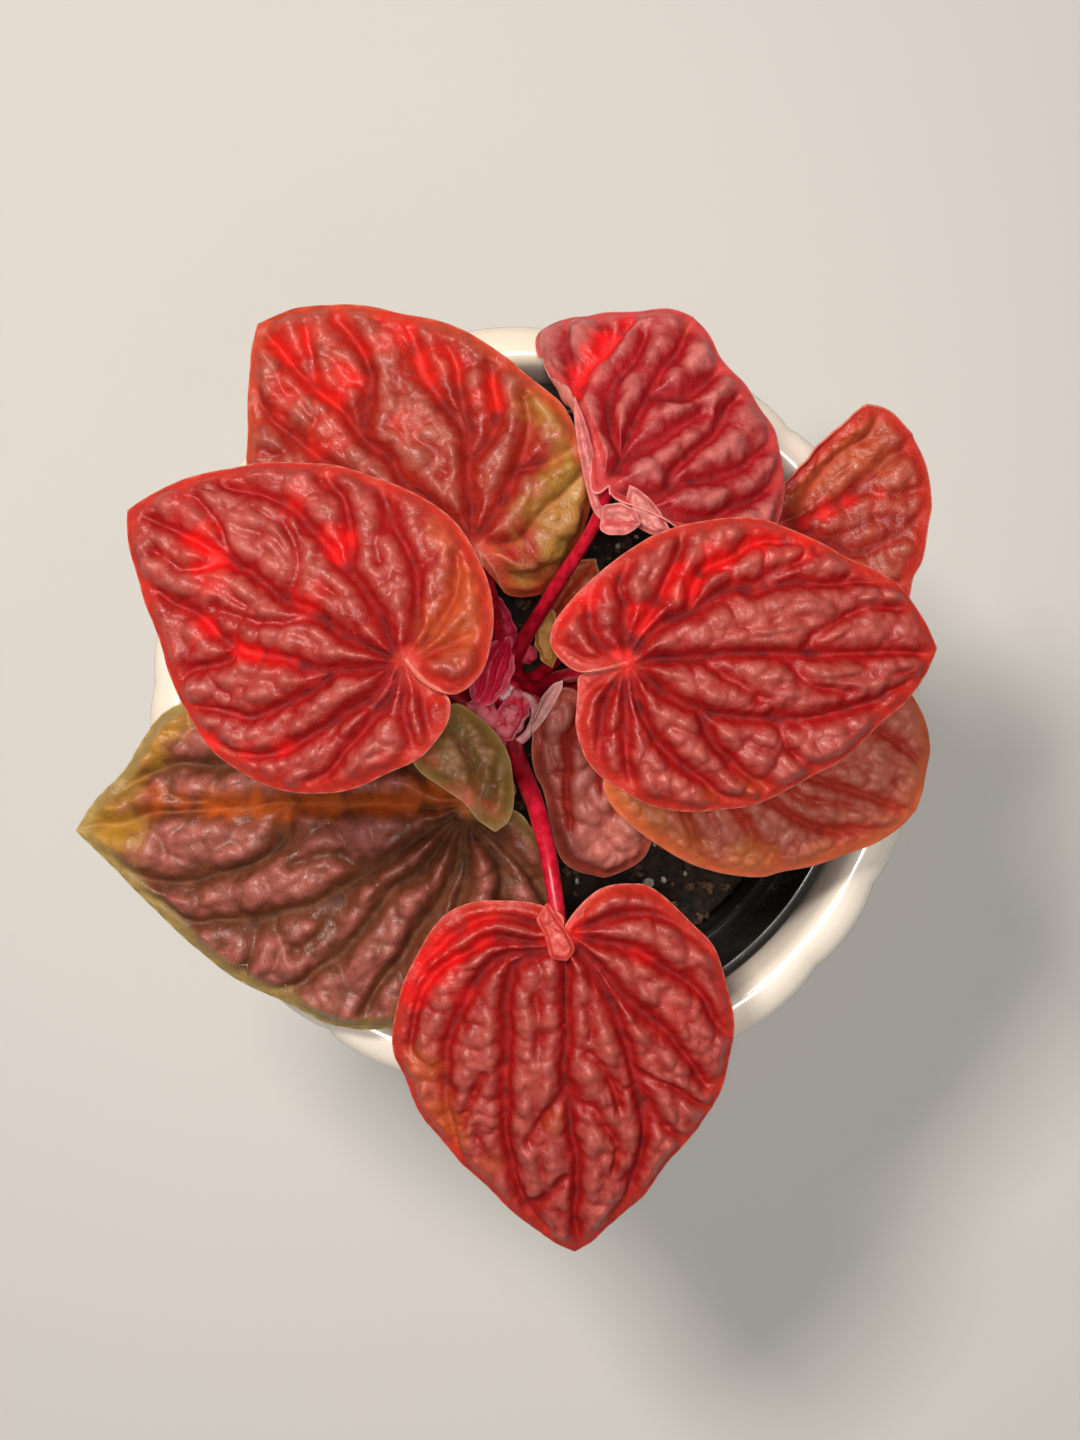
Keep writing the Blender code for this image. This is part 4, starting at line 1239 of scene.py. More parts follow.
        "leaf_right", (13.2, 6.8, 144.0), 3.0, 46.5, 0.08, 0.0025, (0.007, 0.007), 0.01,
        left=[(-2.5, -0.6), (-5.2, -1.1), (-7.0, -0.9), (-9.0, 0.6), (-10.5, 3.0), (-10, 5.8), (-8, 8.5),
              (-5, 11.5), (1.5, 16.2), (6, 18.5), (13.5, 20.2), (18.5, 20.2), (23.5, 19.2),
              (32.5, 14.5), (38, 11.5), (42.5, 8)],
        right=[(-2.5, -0.6), (-5.2, -1.0), (-6.8, -1.8), (-7.0, -3.6), (-7.3, -6), (-7.5, -9),
               (-6.5, -13), (-4.5, -16), (-1, -18.5), (3, -21), (8.5, -22), (13, -22), (18, -21.5),
               (27.5, -17.5), (33, -14.5), (37.5, -10.5),
               (41.5, -7.5), (44.5, -4)],
        veins=[
            [(0, 0), (10.5, 0), (22, 0), (34, 0), (45.5, -0.5)],
            [(0.5, 1), (5, 4.5), (9.5, 7), (15, 9), (20.5, 10), (26.5, 10.5), (34.5, 10.5), (39.5, 10)],
            [(0, 1.5), (4, 7), (6.5, 12), (8.5, 15.5), (9, 18)],
            [(9.5, 7.5), (11, 12), (15, 14.5), (21, 16.5), (26, 16.5)],
            [(0, 1), (0, 7.5), (-1, 11), (1, 14)],
            [(-1, 0.5), (-4, 3.5), (-4.5, 7.5), (-4, 10.5)],
            [(-1.5, 0), (-5.5, 1), (-9, 3)],
            [(1, -0.5), (4.5, -3.5), (10, -7), (16, -8.5), (21.5, -9), (27.5, -9), (35.5, -7.5), (42, -5.5)],
            [(10, -7), (11.5, -11), (15.5, -16), (20, -19)],
            [(0.5, -1), (1.5, -6), (3.5, -10), (6, -13.5), (9.5, -17), (12.5, -20), (16.5, -21)],
            [(-0.5, -0.5), (-0.5, -6.5), (-1, -10.5), (-0.5, -16.5)],
            [(-1, -1), (-3.5, -6.5), (-4.5, -12), (-4.5, -15.5)],
            [(-1.5, -0.5), (-5.5, -3.5), (-7, -6)],
        ],
        creases=[[(18.5, 10), (21.5, 11.5), (27, 14), (30, 15.5)], [(21, -9), (23.5, -13.5), (28, -16.5)],
                 [(26, 1), (30, 4.5), (36, 6), (41.5, 5.5)], [(12.5, -1.5), (15, -3.5), (18.5, -6)],
                 [(24, -2), (27.5, -5), (32, -6)]],
        lifts=[Lift((-5, 0), 3.5, 0.7, 1.0), Lift((-5, -2), 3.0, -0.7, -1.0)],
        painted_backlights=[Patch((2.5, 6), 2.6, 0.7), Patch((8.5, 11.5), 3.4, 0.9), Patch((14.5, 13), 3.4, 0.9),
               Patch((20.5, 15.5), 3.2, 0.8), Patch((27, 16), 3.0, 0.6), Patch((-9, 6.5), 2.6, 0.7),
               Patch((-4.5, 9.5), 3.0, 0.6), Patch((0, 0.5), 1.8, 0.7)],
        warms=[Patch((10, -21.5), 3.4, 0.7), Patch((18, -20), 3.0, 0.5)],
        quilt=Quilt(seed=19)),
    Blade(
        "leaf_lower_right", (24.7, -3.8, 124.0), -19.0, 37.5, 0.20, 0.002, (0.004, 0.006), 0.01,
        left=[(-1.5, 1), (-3, 4), (-1.5, 7), (4.5, 11.5), (12, 16.5), (20, 18.5), (26.5, 18.5),
              (30.5, 17.5), (33.5, 15), (35.5, 12), (37, 9), (37.3, 5)],
        right=[(-2.5, 0), (-7, 0), (-10, -3.5), (-11, -8.5), (-10.5, -12.5), (-6.5, -15.5), (1, -18),
               (9, -19), (17, -17.5), (20.5, -15.5), (25.5, -12.5), (32.5, -7), (36, -3)],
        veins=[
            [(0, 0), (11, 0), (24.5, 0), (36.5, 0)],
            [(1, -0.5), (9, -3.5), (16, -6), (21.5, -7.5), (28.5, -6), (34.5, -4)],
            [(0.5, -1), (5.5, -6.5), (10.5, -9.5), (13.5, -12), (18.5, -14.5)],
            [(-0.5, -1.5), (0.5, -8.5), (4.5, -15), (7, -18)],
            [(-1.5, -1), (-4.5, -8), (-4, -14.5)],
            [(1.5, 1), (10.5, 6), (19.5, 9), (26.5, 10.5), (33, 9), (36.5, 6.5)],
            [(0.5, 1.5), (6.5, 8), (14.5, 13.5), (22, 16.5)],
        ],
        creases=[[(11, 0), (19, -3.5), (27, -2.5)]],
        warms=[Patch((-6, -14), 7.0, 1.0), Patch((4, -18), 6.0, 0.9), Patch((14, -17), 5.0, 0.8),
               Patch((26, -12), 4.0, 0.5), Patch((36, 6), 4.0, 0.4)],
        quilt=Quilt(rise=0.9, flank=1.2, lump_rise=0.7, pebble=1.9, pebble_rise=0.6, seed=23),
        skin=SALMON_SKIN, slot="leaf_orange"),
    Blade(
        "leaf_inner", (8.9, 1.4, 111.0), -85.0, 28.9, 0.35, 0.0, (0.0, 0.0), 0.0,
        left=[(-1, 1.5), (0.5, 5), (6, 7.5), (12.5, 9), (19.5, 9), (24, 8), (27, 5.5)],
        right=[(-1.5, -1.5), (-3, -4), (-2.5, -7), (1, -9.2), (5, -10), (10.5, -9.8), (13.5, -8.7),
               (18.5, -8), (24.5, -7), (27, -4.5)],
        veins=[
            [(0.5, 0), (8, 0.5), (14, 0.5)], [(0.5, -1), (6.5, -4), (14, -5.5), (20, -5)],
            [(0.5, 0.5), (7.5, 4), (13, 4.5)],
        ],
        rolls=[Roll((0, -8.8), 8.0, 2.0, 120.0)],
        quilt=Quilt(rise=0.6, flank=1.0, split=0.0, lump=4.4, lump_rise=1.6, pebble=2.2,
                    pebble_rise=0.5, seed=29),
        skin=RUSSET_SKIN),
    Blade(
        "leaf_old_left", (-10.4, -14.7, 115.0), -176.0, 63.0, 0.02, 0.0008, (0.0028, 0.003), 0.036,
        left=[(-2.0, 0.5), (-4.5, 0.9), (-7.5, 2.0), (-10, 5.5), (-12, 9.5), (-12.3, 14), (-10.5, 22.5),
              (-3, 30), (6, 34), (15, 35), (24, 34), (29, 31), (39.5, 25), (47, 18), (54.5, 9.5)],
        right=[(-1.5, -0.3), (-3.5, -0.2), (-6, -0.2), (-7.5, -1.5), (-6.5, -5), (-5, -9.5), (-1.5, -13),
               (1.5, -15), (5.5, -17), (12.5, -20), (25, -22.5), (36.5, -22), (44.5, -19), (48.5, -17),
               (51.5, -13), (55, -8.5), (59.5, -4.5)],
        veins=[
            [(1, 0), (12, -0.5), (28, -1.5), (38.5, -2), (49.5, -1.5), (62, 0)],
            [(2.5, 1.5), (10, 6), (15.5, 10), (20.5, 12.5), (29, 15.5), (36.5, 16), (45, 15), (52, 11)],
            [(28, -1), (29.5, 3.5), (36, 7.5), (45, 9), (53.5, 8), (58, 5.5)],
            [(2, 2.5), (7.5, 9.5), (13, 13), (17, 17), (22, 22.5), (27, 25.5), (33, 27)],
            [(1, 2.5), (3.5, 11.5), (8.5, 19.5), (14, 25.5), (18.5, 31)],
            [(0.5, 2.5), (1.5, 10), (2.5, 16), (4, 24.5)],
            [(0, 2.5), (-3.5, 9), (-4, 15.5), (-2.5, 23.5)],
            [(-1, 2.5), (-8, 10.5), (-11, 15.5)],
            [(2, -1.5), (9, -6), (18, -9), (28, -9.5), (38, -9), (46, -9), (51.5, -7.5), (55.5, -5.5)],
            [(0.5, -1), (2.5, -6.5), (3.5, -12)], [(-0.5, -1), (-2, -6), (-2, -10.5)],
        ],
        creases=[[(35, 16), (36, 22), (39, 25.5)], [(15.5, 10), (22, 7), (28, 8)],
                 [(21, 13), (24, 18), (29, 21)]],
        # Painted light shining through along the midrib, which shows as an orange band.
        painted_backlights=[Patch((float(along), -1.2 - 0.05 * along), 3.2, 0.9) for along in range(1, 52, 4)],
        warms=[Patch((60, 0), 7.0, 1.0), Patch((52, -14), 6.0, 1.0), Patch((46, -18), 5.0, 0.9),
               Patch((54, -7), 5.0, 0.7), Patch((30, 33), 5.0, 0.6), Patch((10, 34), 5.0, 0.5)],
        quilt=Quilt(rise=2.6, flank=1.9, split=0.1, lump=5.4, lump_rise=2.0, pebble=2.4,
                    pebble_rise=0.4, seed=31),
        skin=OLIVE_SKIN, slot="leaf_olive", cell=0.54),
]

STALKS = {
    "front": Stalk("stalk_front", -80.0, 94.0,
                   [(-3.0, -7.4, 105.6), (0.1, -14.6, 118.6), (2.5, -24.0, 125.6)], (1.8, 1.2)),
    "left": Stalk("stalk_left", 185.0, 91.0, [(-13.4, 2.5, 107.0), (-16.2, 5.0, 130.0)], (1.6, 1.2)),
    "back_left": Stalk("stalk_back_left", 116.0, 92.0,
                       [(-5.9, 10.8, 100.5), (-6.2, 14.5, 108.0), (-7.2, 20.0, 117.5)], (1.3, 0.95)),
    "back": Stalk("stalk_back", 75.0, 94.5,
                  [(-1.8, 11.2, 108.0), (3.6, 19.5, 121.5), (8.8, 27.4, 129.0)], (1.35, 0.9)),
    "far_right": Stalk("stalk_far_right", 30.0, 88.5,
                       [(8.0, 12.0, 96.0), (20.0, 19.0, 103.0), (30.0, 24.5, 108.5)], (1.2, 0.9)),
    "right": Stalk("stalk_right", 8.0, 94.0,
                   [(3.6, 5.2, 105.0), (7.5, 5.8, 122.0), (10.6, 6.4, 135.0)], (1.3, 1.0)),
    "lower_right": Stalk("stalk_lower_right", -8.0, 87.5,
                         [(6.5, 3.5, 94.0), (14.0, 3.0, 106.0), (20.0, 0.0, 116.5)], (1.2, 0.9)),
    "inner": Stalk("stalk_inner", -40.0, 91.0, [(3.0, -1.5, 97.0), (6.5, 0.2, 104.5)], (1.1, 0.8)),
    "old_left": Stalk("stalk_old_left", -118.0, 88.0, [(-9.0, -5.5, 98.0), (-10.2, -11.0, 108.5)],
                      (1.5, 1.1)),
}

SMALL_QUILT = Quilt(rise=0.5, flank=0.8, lump=1.8, lump_rise=0.35, pebble=0.9, pebble_rise=0.1,
                    smooth_margin=0.9, ruffle=0.25, ruffle_length=2.6, seed=41)
PLEATED = Quilt(rise=1.5, flank=0.7, split=0.0, lump=2.4, lump_rise=0.4, pebble=0.9, pebble_rise=0.1,
                smooth_margin=0.5, ruffle=0.3, ruffle_length=3.4, seed=45)
YOUNG_LEAVES = [
    Blade("young_leaf_folded", (-3.9, 12.2, 103.4), -115.0, 12.8, -0.02, 0.006, (-0.1, -0.1), 0.0,
          left=[(2.6, 2.2), (7, 3.4), (11, 2.2)], right=[(2.6, -2.8), (7, -3.4), (11, -2.4)],
          veins=[[(0.3, 0), (6, 0.4), (12.5, 0)], [(0.6, 0.4), (5, 1.9), (11.5, 1.2)],
                 [(0.6, -0.4), (5, -1.7), (11.5, -1.2)]],
          quilt=PLEATED, skin=FOLDED_SKIN, slot="young_pink", cell=0.2, thickness=0.5),
    Blade("young_leaf_bumpy", (-6.6, 0.8, 100.2), 200.0, 6.5, -0.1, 0.01, (0.05, 0.05), 0.0,
          left=[(0.3, 1.6), (2.8, 2.4), (5.2, 1.6)], right=[(0.3, -1.4), (2.8, -2.0), (5.2, -1.4)],
          veins=[[(0.3, 0), (3, 0), (6, 0)]],
          quilt=replace(SMALL_QUILT, lump=2.0, lump_rise=0.7, seed=43), skin=YOUNG_SKIN,
          slot="young_pink", cell=0.14, thickness=0.6),
    Blade("young_leaf_curled", (-2.7, 3.4, 101.6), -118.0, 9.3, -0.02, 0.0, (-0.09, -0.09), 0.0,
          left=[(0.1, 2.6), (2.3, 4.4), (6.4, 4.6), (9.0, 2.8)],
          right=[(2.5, -1.2), (5.4, -1.4), (7.5, -1.2)],
          veins=[[(0.3, 0), (4, 0.4), (8.5, 0)], [(0.5, 0.5), (3, 2.4), (7, 2.6)]],
          rolls=[Roll((5, 4.6), 8.0, 1.7, 130.0)],
          quilt=replace(SMALL_QUILT, seed=47), skin=YOUNG_SKIN, slot="young_pink", cell=0.17,
          thickness=0.5),
]
DRIED_LEAF = Blade(
    "dried_leaf_blade", (2.6, 13.4, 93.6), 58.0, 14.5, 0.10, 0.0, (-0.07, -0.05), 0.0,
    left=[(-0.6, 2.5), (3, 4.6), (7, 5.2), (11, 4.2)],
    right=[(-0.6, -2.5), (3, -5.0), (7, -5.4), (11, -3.6)],
    veins=[[(0.3, 0), (6, 0.5), (13, 0)], [(0.5, 0.5), (4, 2.5), (9, 3.0)],
           [(0.5, -0.5), (4, -2.5), (9, -3.4)]],
    rolls=[Roll((6, 5.1), 7.0, 1.8, 110.0)],
    quilt=Quilt(rise=0.8, flank=0.9, lump=2.6, lump_rise=0.9, pebble=1.1, pebble_rise=0.2,
                smooth_margin=1.0, ruffle=0.7, ruffle_length=4.5, seed=53),
    skin=DRIED_SKIN, slot="dried_leaf", cell=0.22, thickness=0.45, rim_thickness=0.2)
DRIED_STALK = Stalk("dried_leaf_stalk", 70.0, 86.5, [(0.6, 11.0, 89.0)], (0.8, 0.6))

FLAPS = [
    Blade("old_leaf_fold", (-16.0, -3.9, 116.6), -57.0, 18.1, -0.02, 0.002, (0.02, 0.015), 0.0,
          left=[(-2.4, 4.9), (0.1, 7.0), (4.5, 8.3), (9.8, 7.9), (15.2, 5.3), (17.7, 2.7)],
          right=[(0.9, -4.3), (3.7, -4.7), (7.4, -3.3), (11.5, -1.6), (15.1, -1.2)],
          veins=[[(13, -1.0), (10, 2), (4, 3.5), (0, 3)], [(13, -1.0), (13, 3), (10, 6)]],
          warms=[Patch((10, -2.5), 4.0, 0.9), Patch((16, 1), 3.0, 0.7), Patch((3, -4), 3.5, 0.9)],
          painted_backlights=[Patch((12, -1.5), 2.2, 0.9), Patch((9, -2.6), 2.0, 0.6)],
          quilt=Quilt(rise=0.7, lump_rise=0.7, lump=3.6, seed=61), skin=FOLD_SKIN, slot="leaf_olive",
          cell=0.3, thickness=0.7),
    Blade("front_leaf_tongue", (1.2, -30.2, 130.2), -64.0, 8.4, -0.06, 0.012, (0.08, 0.08), 0.0,
          left=[(-0.5, 1.2), (1.7, 1.5), (4.9, 1.9), (7.4, 1.7)],
          right=[(0.9, -1.2), (3.6, -1.2), (6.9, -1.7)],
          quilt=replace(SMALL_QUILT, rise=0.2, ruffle=0.1, seed=63), skin=TONGUE_SKIN, cell=0.2,
          thickness=0.6),
    Blade("inner_leaf_curl", (4.5, 4.8, 112.8), -120.0, 9.6, 0.02, 0.012, (0.16, 0.16), 0.0,
          left=[(1.5, 0.5), (4.7, 0.6), (7.7, 0.4)], right=[(1.7, -1.0), (5.1, -1.3), (8.0, -0.8)],
          quilt=replace(SMALL_QUILT, rise=0.2, lump_rise=0.1, ruffle=0.08, seed=65),
          skin=PALEST_SKIN, cell=0.18, thickness=0.6),
    Blade("back_leaf_cup", (10.0, 28.4, 134.2), -6.0, 6.0, -0.05, 0.0, (-0.22, -0.16), 0.0,
          left=[(0.2, 2.0), (2.6, 2.6), (4.8, 1.8)], right=[(0.2, -2.0), (2.4, -2.5), (4.6, -1.7)],
          veins=[[(0.4, 0), (3, 0), (5.6, 0)]],
          quilt=replace(SMALL_QUILT, rise=0.4, ruffle=0.1, seed=67), skin=PALE_SKIN, cell=0.16,
          thickness=0.5),
    Blade("back_leaf_curl", (14.2, 33.4, 134.6), -48.0, 9.3, 0.10, 0.0, (0.10, 0.10), 0.0,
          left=[(1.9, 0.6), (5.2, 0.8)], right=[(1.6, -1.9), (4.5, -2.9), (7.5, -2.2)],
          quilt=replace(SMALL_QUILT, rise=0.3, ruffle=0.1, seed=69), skin=PALE_SKIN, cell=0.18,
          thickness=0.5),
    Blade("back_leaf_rolled_edge", (9.9, 28.6, 132.0), 102.0, 18.6, -0.06, 0.0, (0.20, 0.20), 0.0,
          left=[(1.5, 0.6), (5, 0.9), (10, 0.9), (15, 0.6)],
          right=[(1.5, -0.6), (5, -0.9), (10, -0.9), (15, -0.6)],
          quilt=replace(SMALL_QUILT, rise=0.1, ruffle=0.08, seed=71), skin=PALE_SKIN, cell=0.3,
          thickness=0.6),
    Blade("dried_leaf_curl", (1.9, 17.5, 97.0), -84.0, 10.4, 0.02, 0.0, (-0.12, 0.1), 0.0,
          left=[(1.5, 1.5), (5.9, 1.8), (8.5, 1.0)], right=[(1.2, -1.8), (5.5, -2.2), (8.9, -1.5)],
          quilt=replace(SMALL_QUILT, rise=0.6, lump_rise=0.6, ruffle=0.5, seed=73),
          skin=TAN_SKIN, slot="dried_leaf", cell=0.22, thickness=0.4, rim_thickness=0.2),
    Blade("stalk_sheath", (-7.0, 18.9, 106.0), -71.0, 11.5, 0.55, 0.0, (0.18, 0.18), 0.0,
          left=[(1.2, 1.2), (5.1, 1.7), (9.1, 1.4)], right=[(1.8, -1.1), (5.6, -1.5), (9.0, -1.2)],
          quilt=replace(SMALL_QUILT, rise=0.2, lump_rise=0.15, seed=75),
          skin=SHEATH_SKIN, slot="petiole_red", cell=0.26, thickness=0.8),
]


@dataclass
class Crown:
    """The short stem at the soil that every stalk grows from."""

    axis: Pair = (-4.6, 3.0)
    profile: tuple[Pair, ...] = ((0.0, 72.0), (3.6, 72.0), (4.2, 78.0), (4.4, 86.0), (3.9, 92.0),
                                 (2.8, 97.0), (2.2, 100.0), (0.0, 100.3))
    turns: int = 72
    rings: int = 60

    def radius_at(self, height: float) -> float:
        """Return the stem's radius at a height."""
        side = self.profile[1:-1]
        return float(np.interp(height, [p[1] for p in side], [p[0] for p in side]))

    def build(self) -> bpy.types.Object:
        """Turn the stem with the swollen, knobbly scars of shed leaves.

        Returns:
            The stem.
        """
        line = smooth_path(list(self.profile), self.rings)
        angle = np.linspace(0.0, 2 * np.pi, self.turns, endpoint=False)
        z = np.repeat(line[1:-1, 1][:, None], self.turns, axis=1)
        turn = np.repeat(angle[None, :], self.rings - 2, axis=0)
        knob = 0.35 * drift(turn * 4.0, z, 1.6, 5) * np.sin(turn * 5 + z) + 0.2 * np.sin(z * 2.4)
        radius = line[1:-1, 0][:, None] + knob * np.clip(line[1:-1, 0][:, None] / 2.0, 0.0, 1.0)
        points = np.stack([self.axis[0] + radius * np.cos(turn), self.axis[1] + radius * np.sin(turn), z],
                          axis=-1)
        return revolve_mesh("crown", points, (*self.axis, line[0, 1]), (*self.axis, line[-1, 1]),
                            material_of(STALK_SKIN))


def revolve_mesh(name: str, rings: np.ndarray, first: Place, last: Place,
                 material: bpy.types.Material) -> bpy.types.Object:
    """Close a stack of rings into a solid of one skin.

    Args:
        name: The object's name.
        rings: Points by ring and by step round it, in millimetres.
        first: The pole before the first ring.
        last: The pole after the last ring.
        material: Its material.

    Returns:
        The object, with faces that point outwards where the rings run upwards.
    """
    count, turns = rings.shape[:2]
    number = np.arange(count * turns).reshape(count, turns)
    after = np.roll(number, -1, axis=1)
    quads = np.stack([number[:-1], after[:-1], after[1:], number[1:]], axis=-1).reshape(-1, 4).tolist()
    pole, top = count * turns, count * turns + 1
    fans = [[pole, int(b), int(a)] for a, b in zip(number[0], after[0])]
    fans += [[top, int(a), int(b)] for a, b in zip(number[-1], after[-1])]
    points = np.vstack([rings.reshape(-1, 3), [first], [last]])
    return mesh_object(name, points, quads + fans, material)


@dataclass
class CoverPot:
    """The ceramic cover pot, with rounded lobes round its rim that fade down the wall."""

    height: float = 108.0
    outside: tuple[Pair, ...] = ((0.0, 0.0), (41.5, 0.0), (43.0, 1.5), (48.8, 26.0), (54.6, 62.0),
                                 (57.8, 88.0), (61.3, 102.2), (62.7, 104.6), (62.2, 106.2), (60.4, 107.4))
    inside: tuple[Pair, ...] = ((57.5, 108.0), (56.2, 107.0), (55.0, 103.5), (54.3, 99.0), (53.9, 91.0),
                                (50.4, 58.0), (44.6, 24.0), (39.6, 5.8), (37.6, 5.0), (0.0, 5.0))
    dents: tuple[float, ...] = (10.0, 29.0, 48.1, 67.0, 87.0, 109.0, 132.0, 155.0, 176.0, 196.0,
                                217.0, 237.0, 255.0, 268.0, 282.0, 299.5, 317.7, 332.6, 351.0)
    depth: float = 1.1
    fade_from: float = 60.0
    fade_power: float = 1.5
    lobe_power: float = 0.6
    turns: int = 240

    def scallop(self, turn: np.ndarray, height: np.ndarray) -> np.ndarray:
        """Find how far the wall is drawn in between its lobes.

        Args:
            turn: Directions in degrees.
            height: Heights.

        Returns:
            Distances towards the axis.
        """
        dents = np.array(self.dents + (self.dents[0] + 360.0,))
        turn = np.where(turn < dents[0], turn + 360.0, turn)
        last = np.searchsorted(dents, turn, side="right") - 1
        across = (turn - dents[last]) / (dents[last + 1] - dents[last])
        lobe = (4.0 * across * (1.0 - across)) ** self.lobe_power
        fade = np.clip((height - self.fade_from) / (self.height - self.fade_from), 0.0, 1.0)
        return self.depth * fade ** self.fade_power * (1.0 - lobe)

    def build(self) -> bpy.types.Object:
        """Turn the wall, outside up and inside down, and press the lobes into its outside.

        Returns:
            The cover pot.
        """
        outer = smooth_path(list(self.outside[2:]), 90)
        inner = smooth_path(list(self.inside), 120)
        line = np.vstack([self.outside[:1], smooth_path(list(self.outside[:3]), 12)[1:-1], outer, inner])
        angle = np.linspace(0.0, 2 * np.pi, self.turns, endpoint=False)
        rings = []
        for k, (radius, z) in enumerate(line[1:-1]):
            drawn = self.scallop(np.degrees(angle), np.full(self.turns, z))
            drawn = drawn * (1.0 if k < len(line) - len(inner) - 1 else 0.0)
            rings.append(np.stack([(radius - drawn) * np.cos(angle), (radius - drawn) * np.sin(angle),
                                   np.full(self.turns, z)], axis=-1))
        return revolve_mesh("ceramic_cover_pot", np.array(rings), (0, 0, line[0, 1]), (0, 0, line[-1, 1]),
                            material_of(GLAZE))


@dataclass
class NurseryPot:
    """The thin black pot that the plant grows in, with a stepped collar and drain holes."""

    axis: Pair = (1.3, -1.3)
    profile: tuple[Pair, ...] = ((0.0, 5.3), (34.4, 5.3), (35.6, 6.6), (46.8, 85.5), (49.7, 86.6),
                                 (51.3, 101.0), (51.1, 101.4), (50.5, 101.4), (50.2, 101.0), (48.3, 88.4),
                                 (46.9, 87.2), (46.2, 87.6), (45.8, 86.6), (45.4, 85.0), (34.6, 8.0),
                                 (33.6, 7.0), (0.0, 7.0))
    turns: int = 288
    holes: int = 5
    hole_radius: float = 4.0
    hole_ring: float = 24.0

    def build(self) -> bpy.types.Object:
        """Turn the wall and cut the drain holes.

        Returns:
            The nursery pot.
        """
        angle = np.linspace(0.0, 2 * np.pi, self.turns, endpoint=False)
        line = [self.profile[0]]
        for low, high in zip(self.profile[1:-2], self.profile[2:-1]):
            for share in (0.02, 0.5, 0.98):
                line.append((low[0] + (high[0] - low[0]) * share, low[1] + (high[1] - low[1]) * share))
        rings = [np.stack([self.axis[0] + r * np.cos(angle), self.axis[1] + r * np.sin(angle),
                           np.full(self.turns, z)], axis=-1) for r, z in line[1:]]
        pot = revolve_mesh("plastic_nursery_pot", np.array(rings), (*self.axis, self.profile[0][1]),
                           (*self.axis, self.profile[-1][1]), material_of(PLASTIC))
        for k in range(self.holes):
            turn = 2.0 * math.pi * k / self.holes
            bpy.ops.mesh.primitive_cylinder_add(
                vertices=40, radius=self.hole_radius * MM, depth=4.0 * MM,
                location=((self.axis[0] + self.hole_ring * math.cos(turn)) * MM,
                          (self.axis[1] + self.hole_ring * math.sin(turn)) * MM, 6.2 * MM))
            cutter = bpy.context.object
            hole = pot.modifiers.new("drain", "BOOLEAN")
            hole.object = cutter
            hole.solver = "EXACT"
            bpy.context.view_layer.update()
            mesh = bpy.data.meshes.new_from_object(pot.evaluated_get(bpy.context.evaluated_depsgraph_get()))
            pot.modifiers.remove(hole)
            pot.data = mesh
            bpy.data.objects.remove(cutter)
        mesh.shade_smooth()
        mesh.set_sharp_from_angle(angle=math.radians(50.0))
        return pot


@dataclass
class Soil:
    """Potting soil: damp peat that fills the nursery pot, with bark crumbs and perlite on top."""

    axis: Pair = (1.3, -1.3)
    top: float = 82.0
    profile: tuple[Pair, ...] = ((0.0, 7.3), (33.2, 7.3), (34.2, 8.6), (44.6, 81.6))
    crown_axis: Pair = (-4.6, 3.0)
    clod: float = 3.2
    crumb: float = 1.3
    swell: float = 9.0
    turns: int = 220

    def build(self) -> bpy.types.Object:
        """Turn the soil, with a crumbly top that rises a little round the crown.

        Returns:
            The soil.
        """
        angle = np.linspace(0.0, 2 * np.pi, self.turns, endpoint=False)
        line = [self.profile[1], self.profile[2], (39.0, 45.0), self.profile[3]]
        line += [(radius, None) for radius in np.linspace(44.2, 0.6, 90)]
        rings = []
        for radius, z in line:
            x = self.axis[0] + radius * np.cos(angle)
            y = self.axis[1] + radius * np.sin(angle)
            if z is None:
                near = np.hypot(x - self.crown_axis[0], y - self.crown_axis[1])
                coarse, _ = cells(x, y, self.clod, 61)
                fine, _ = cells(x, y, self.crumb, 62)
                z = self.top + 0.9 * drift(x, y, self.swell, 63) + 0.9 * (0.6 - coarse) + 0.3 * (0.5 - fine)
                z = z + 1.2 * np.exp(-((near - 6.0) / 3.0) ** 2) - 0.4
            rings.append(np.stack([x, y, np.broadcast_to(z, x.shape)], axis=-1))
        return revolve_mesh("peat_soil", np.array(rings), (*self.axis, 7.3), (*self.axis, self.top),
                            material_of(PEAT))

    def strew(self, ground: bpy.types.Object, tree: bpy.types.NodeTree, name: str, finish: LooseGrain,
              values: dict) -> bpy.types.Object:
        """Strew one kind of grain over the soil.

        Args:
            ground: The soil.
            tree: The tree that strews grains.
            name: The new piece's name.
            finish: What the grains are.
            values: The tree's other inputs.

        Returns:
            The grains as one piece.
        """
        copy = bpy.data.objects.new(name + "_ground", ground.data.copy())
        bpy.context.scene.collection.objects.link(copy)
        return grown(copy, tree, {"Material": material_of(finish), **values}, name)


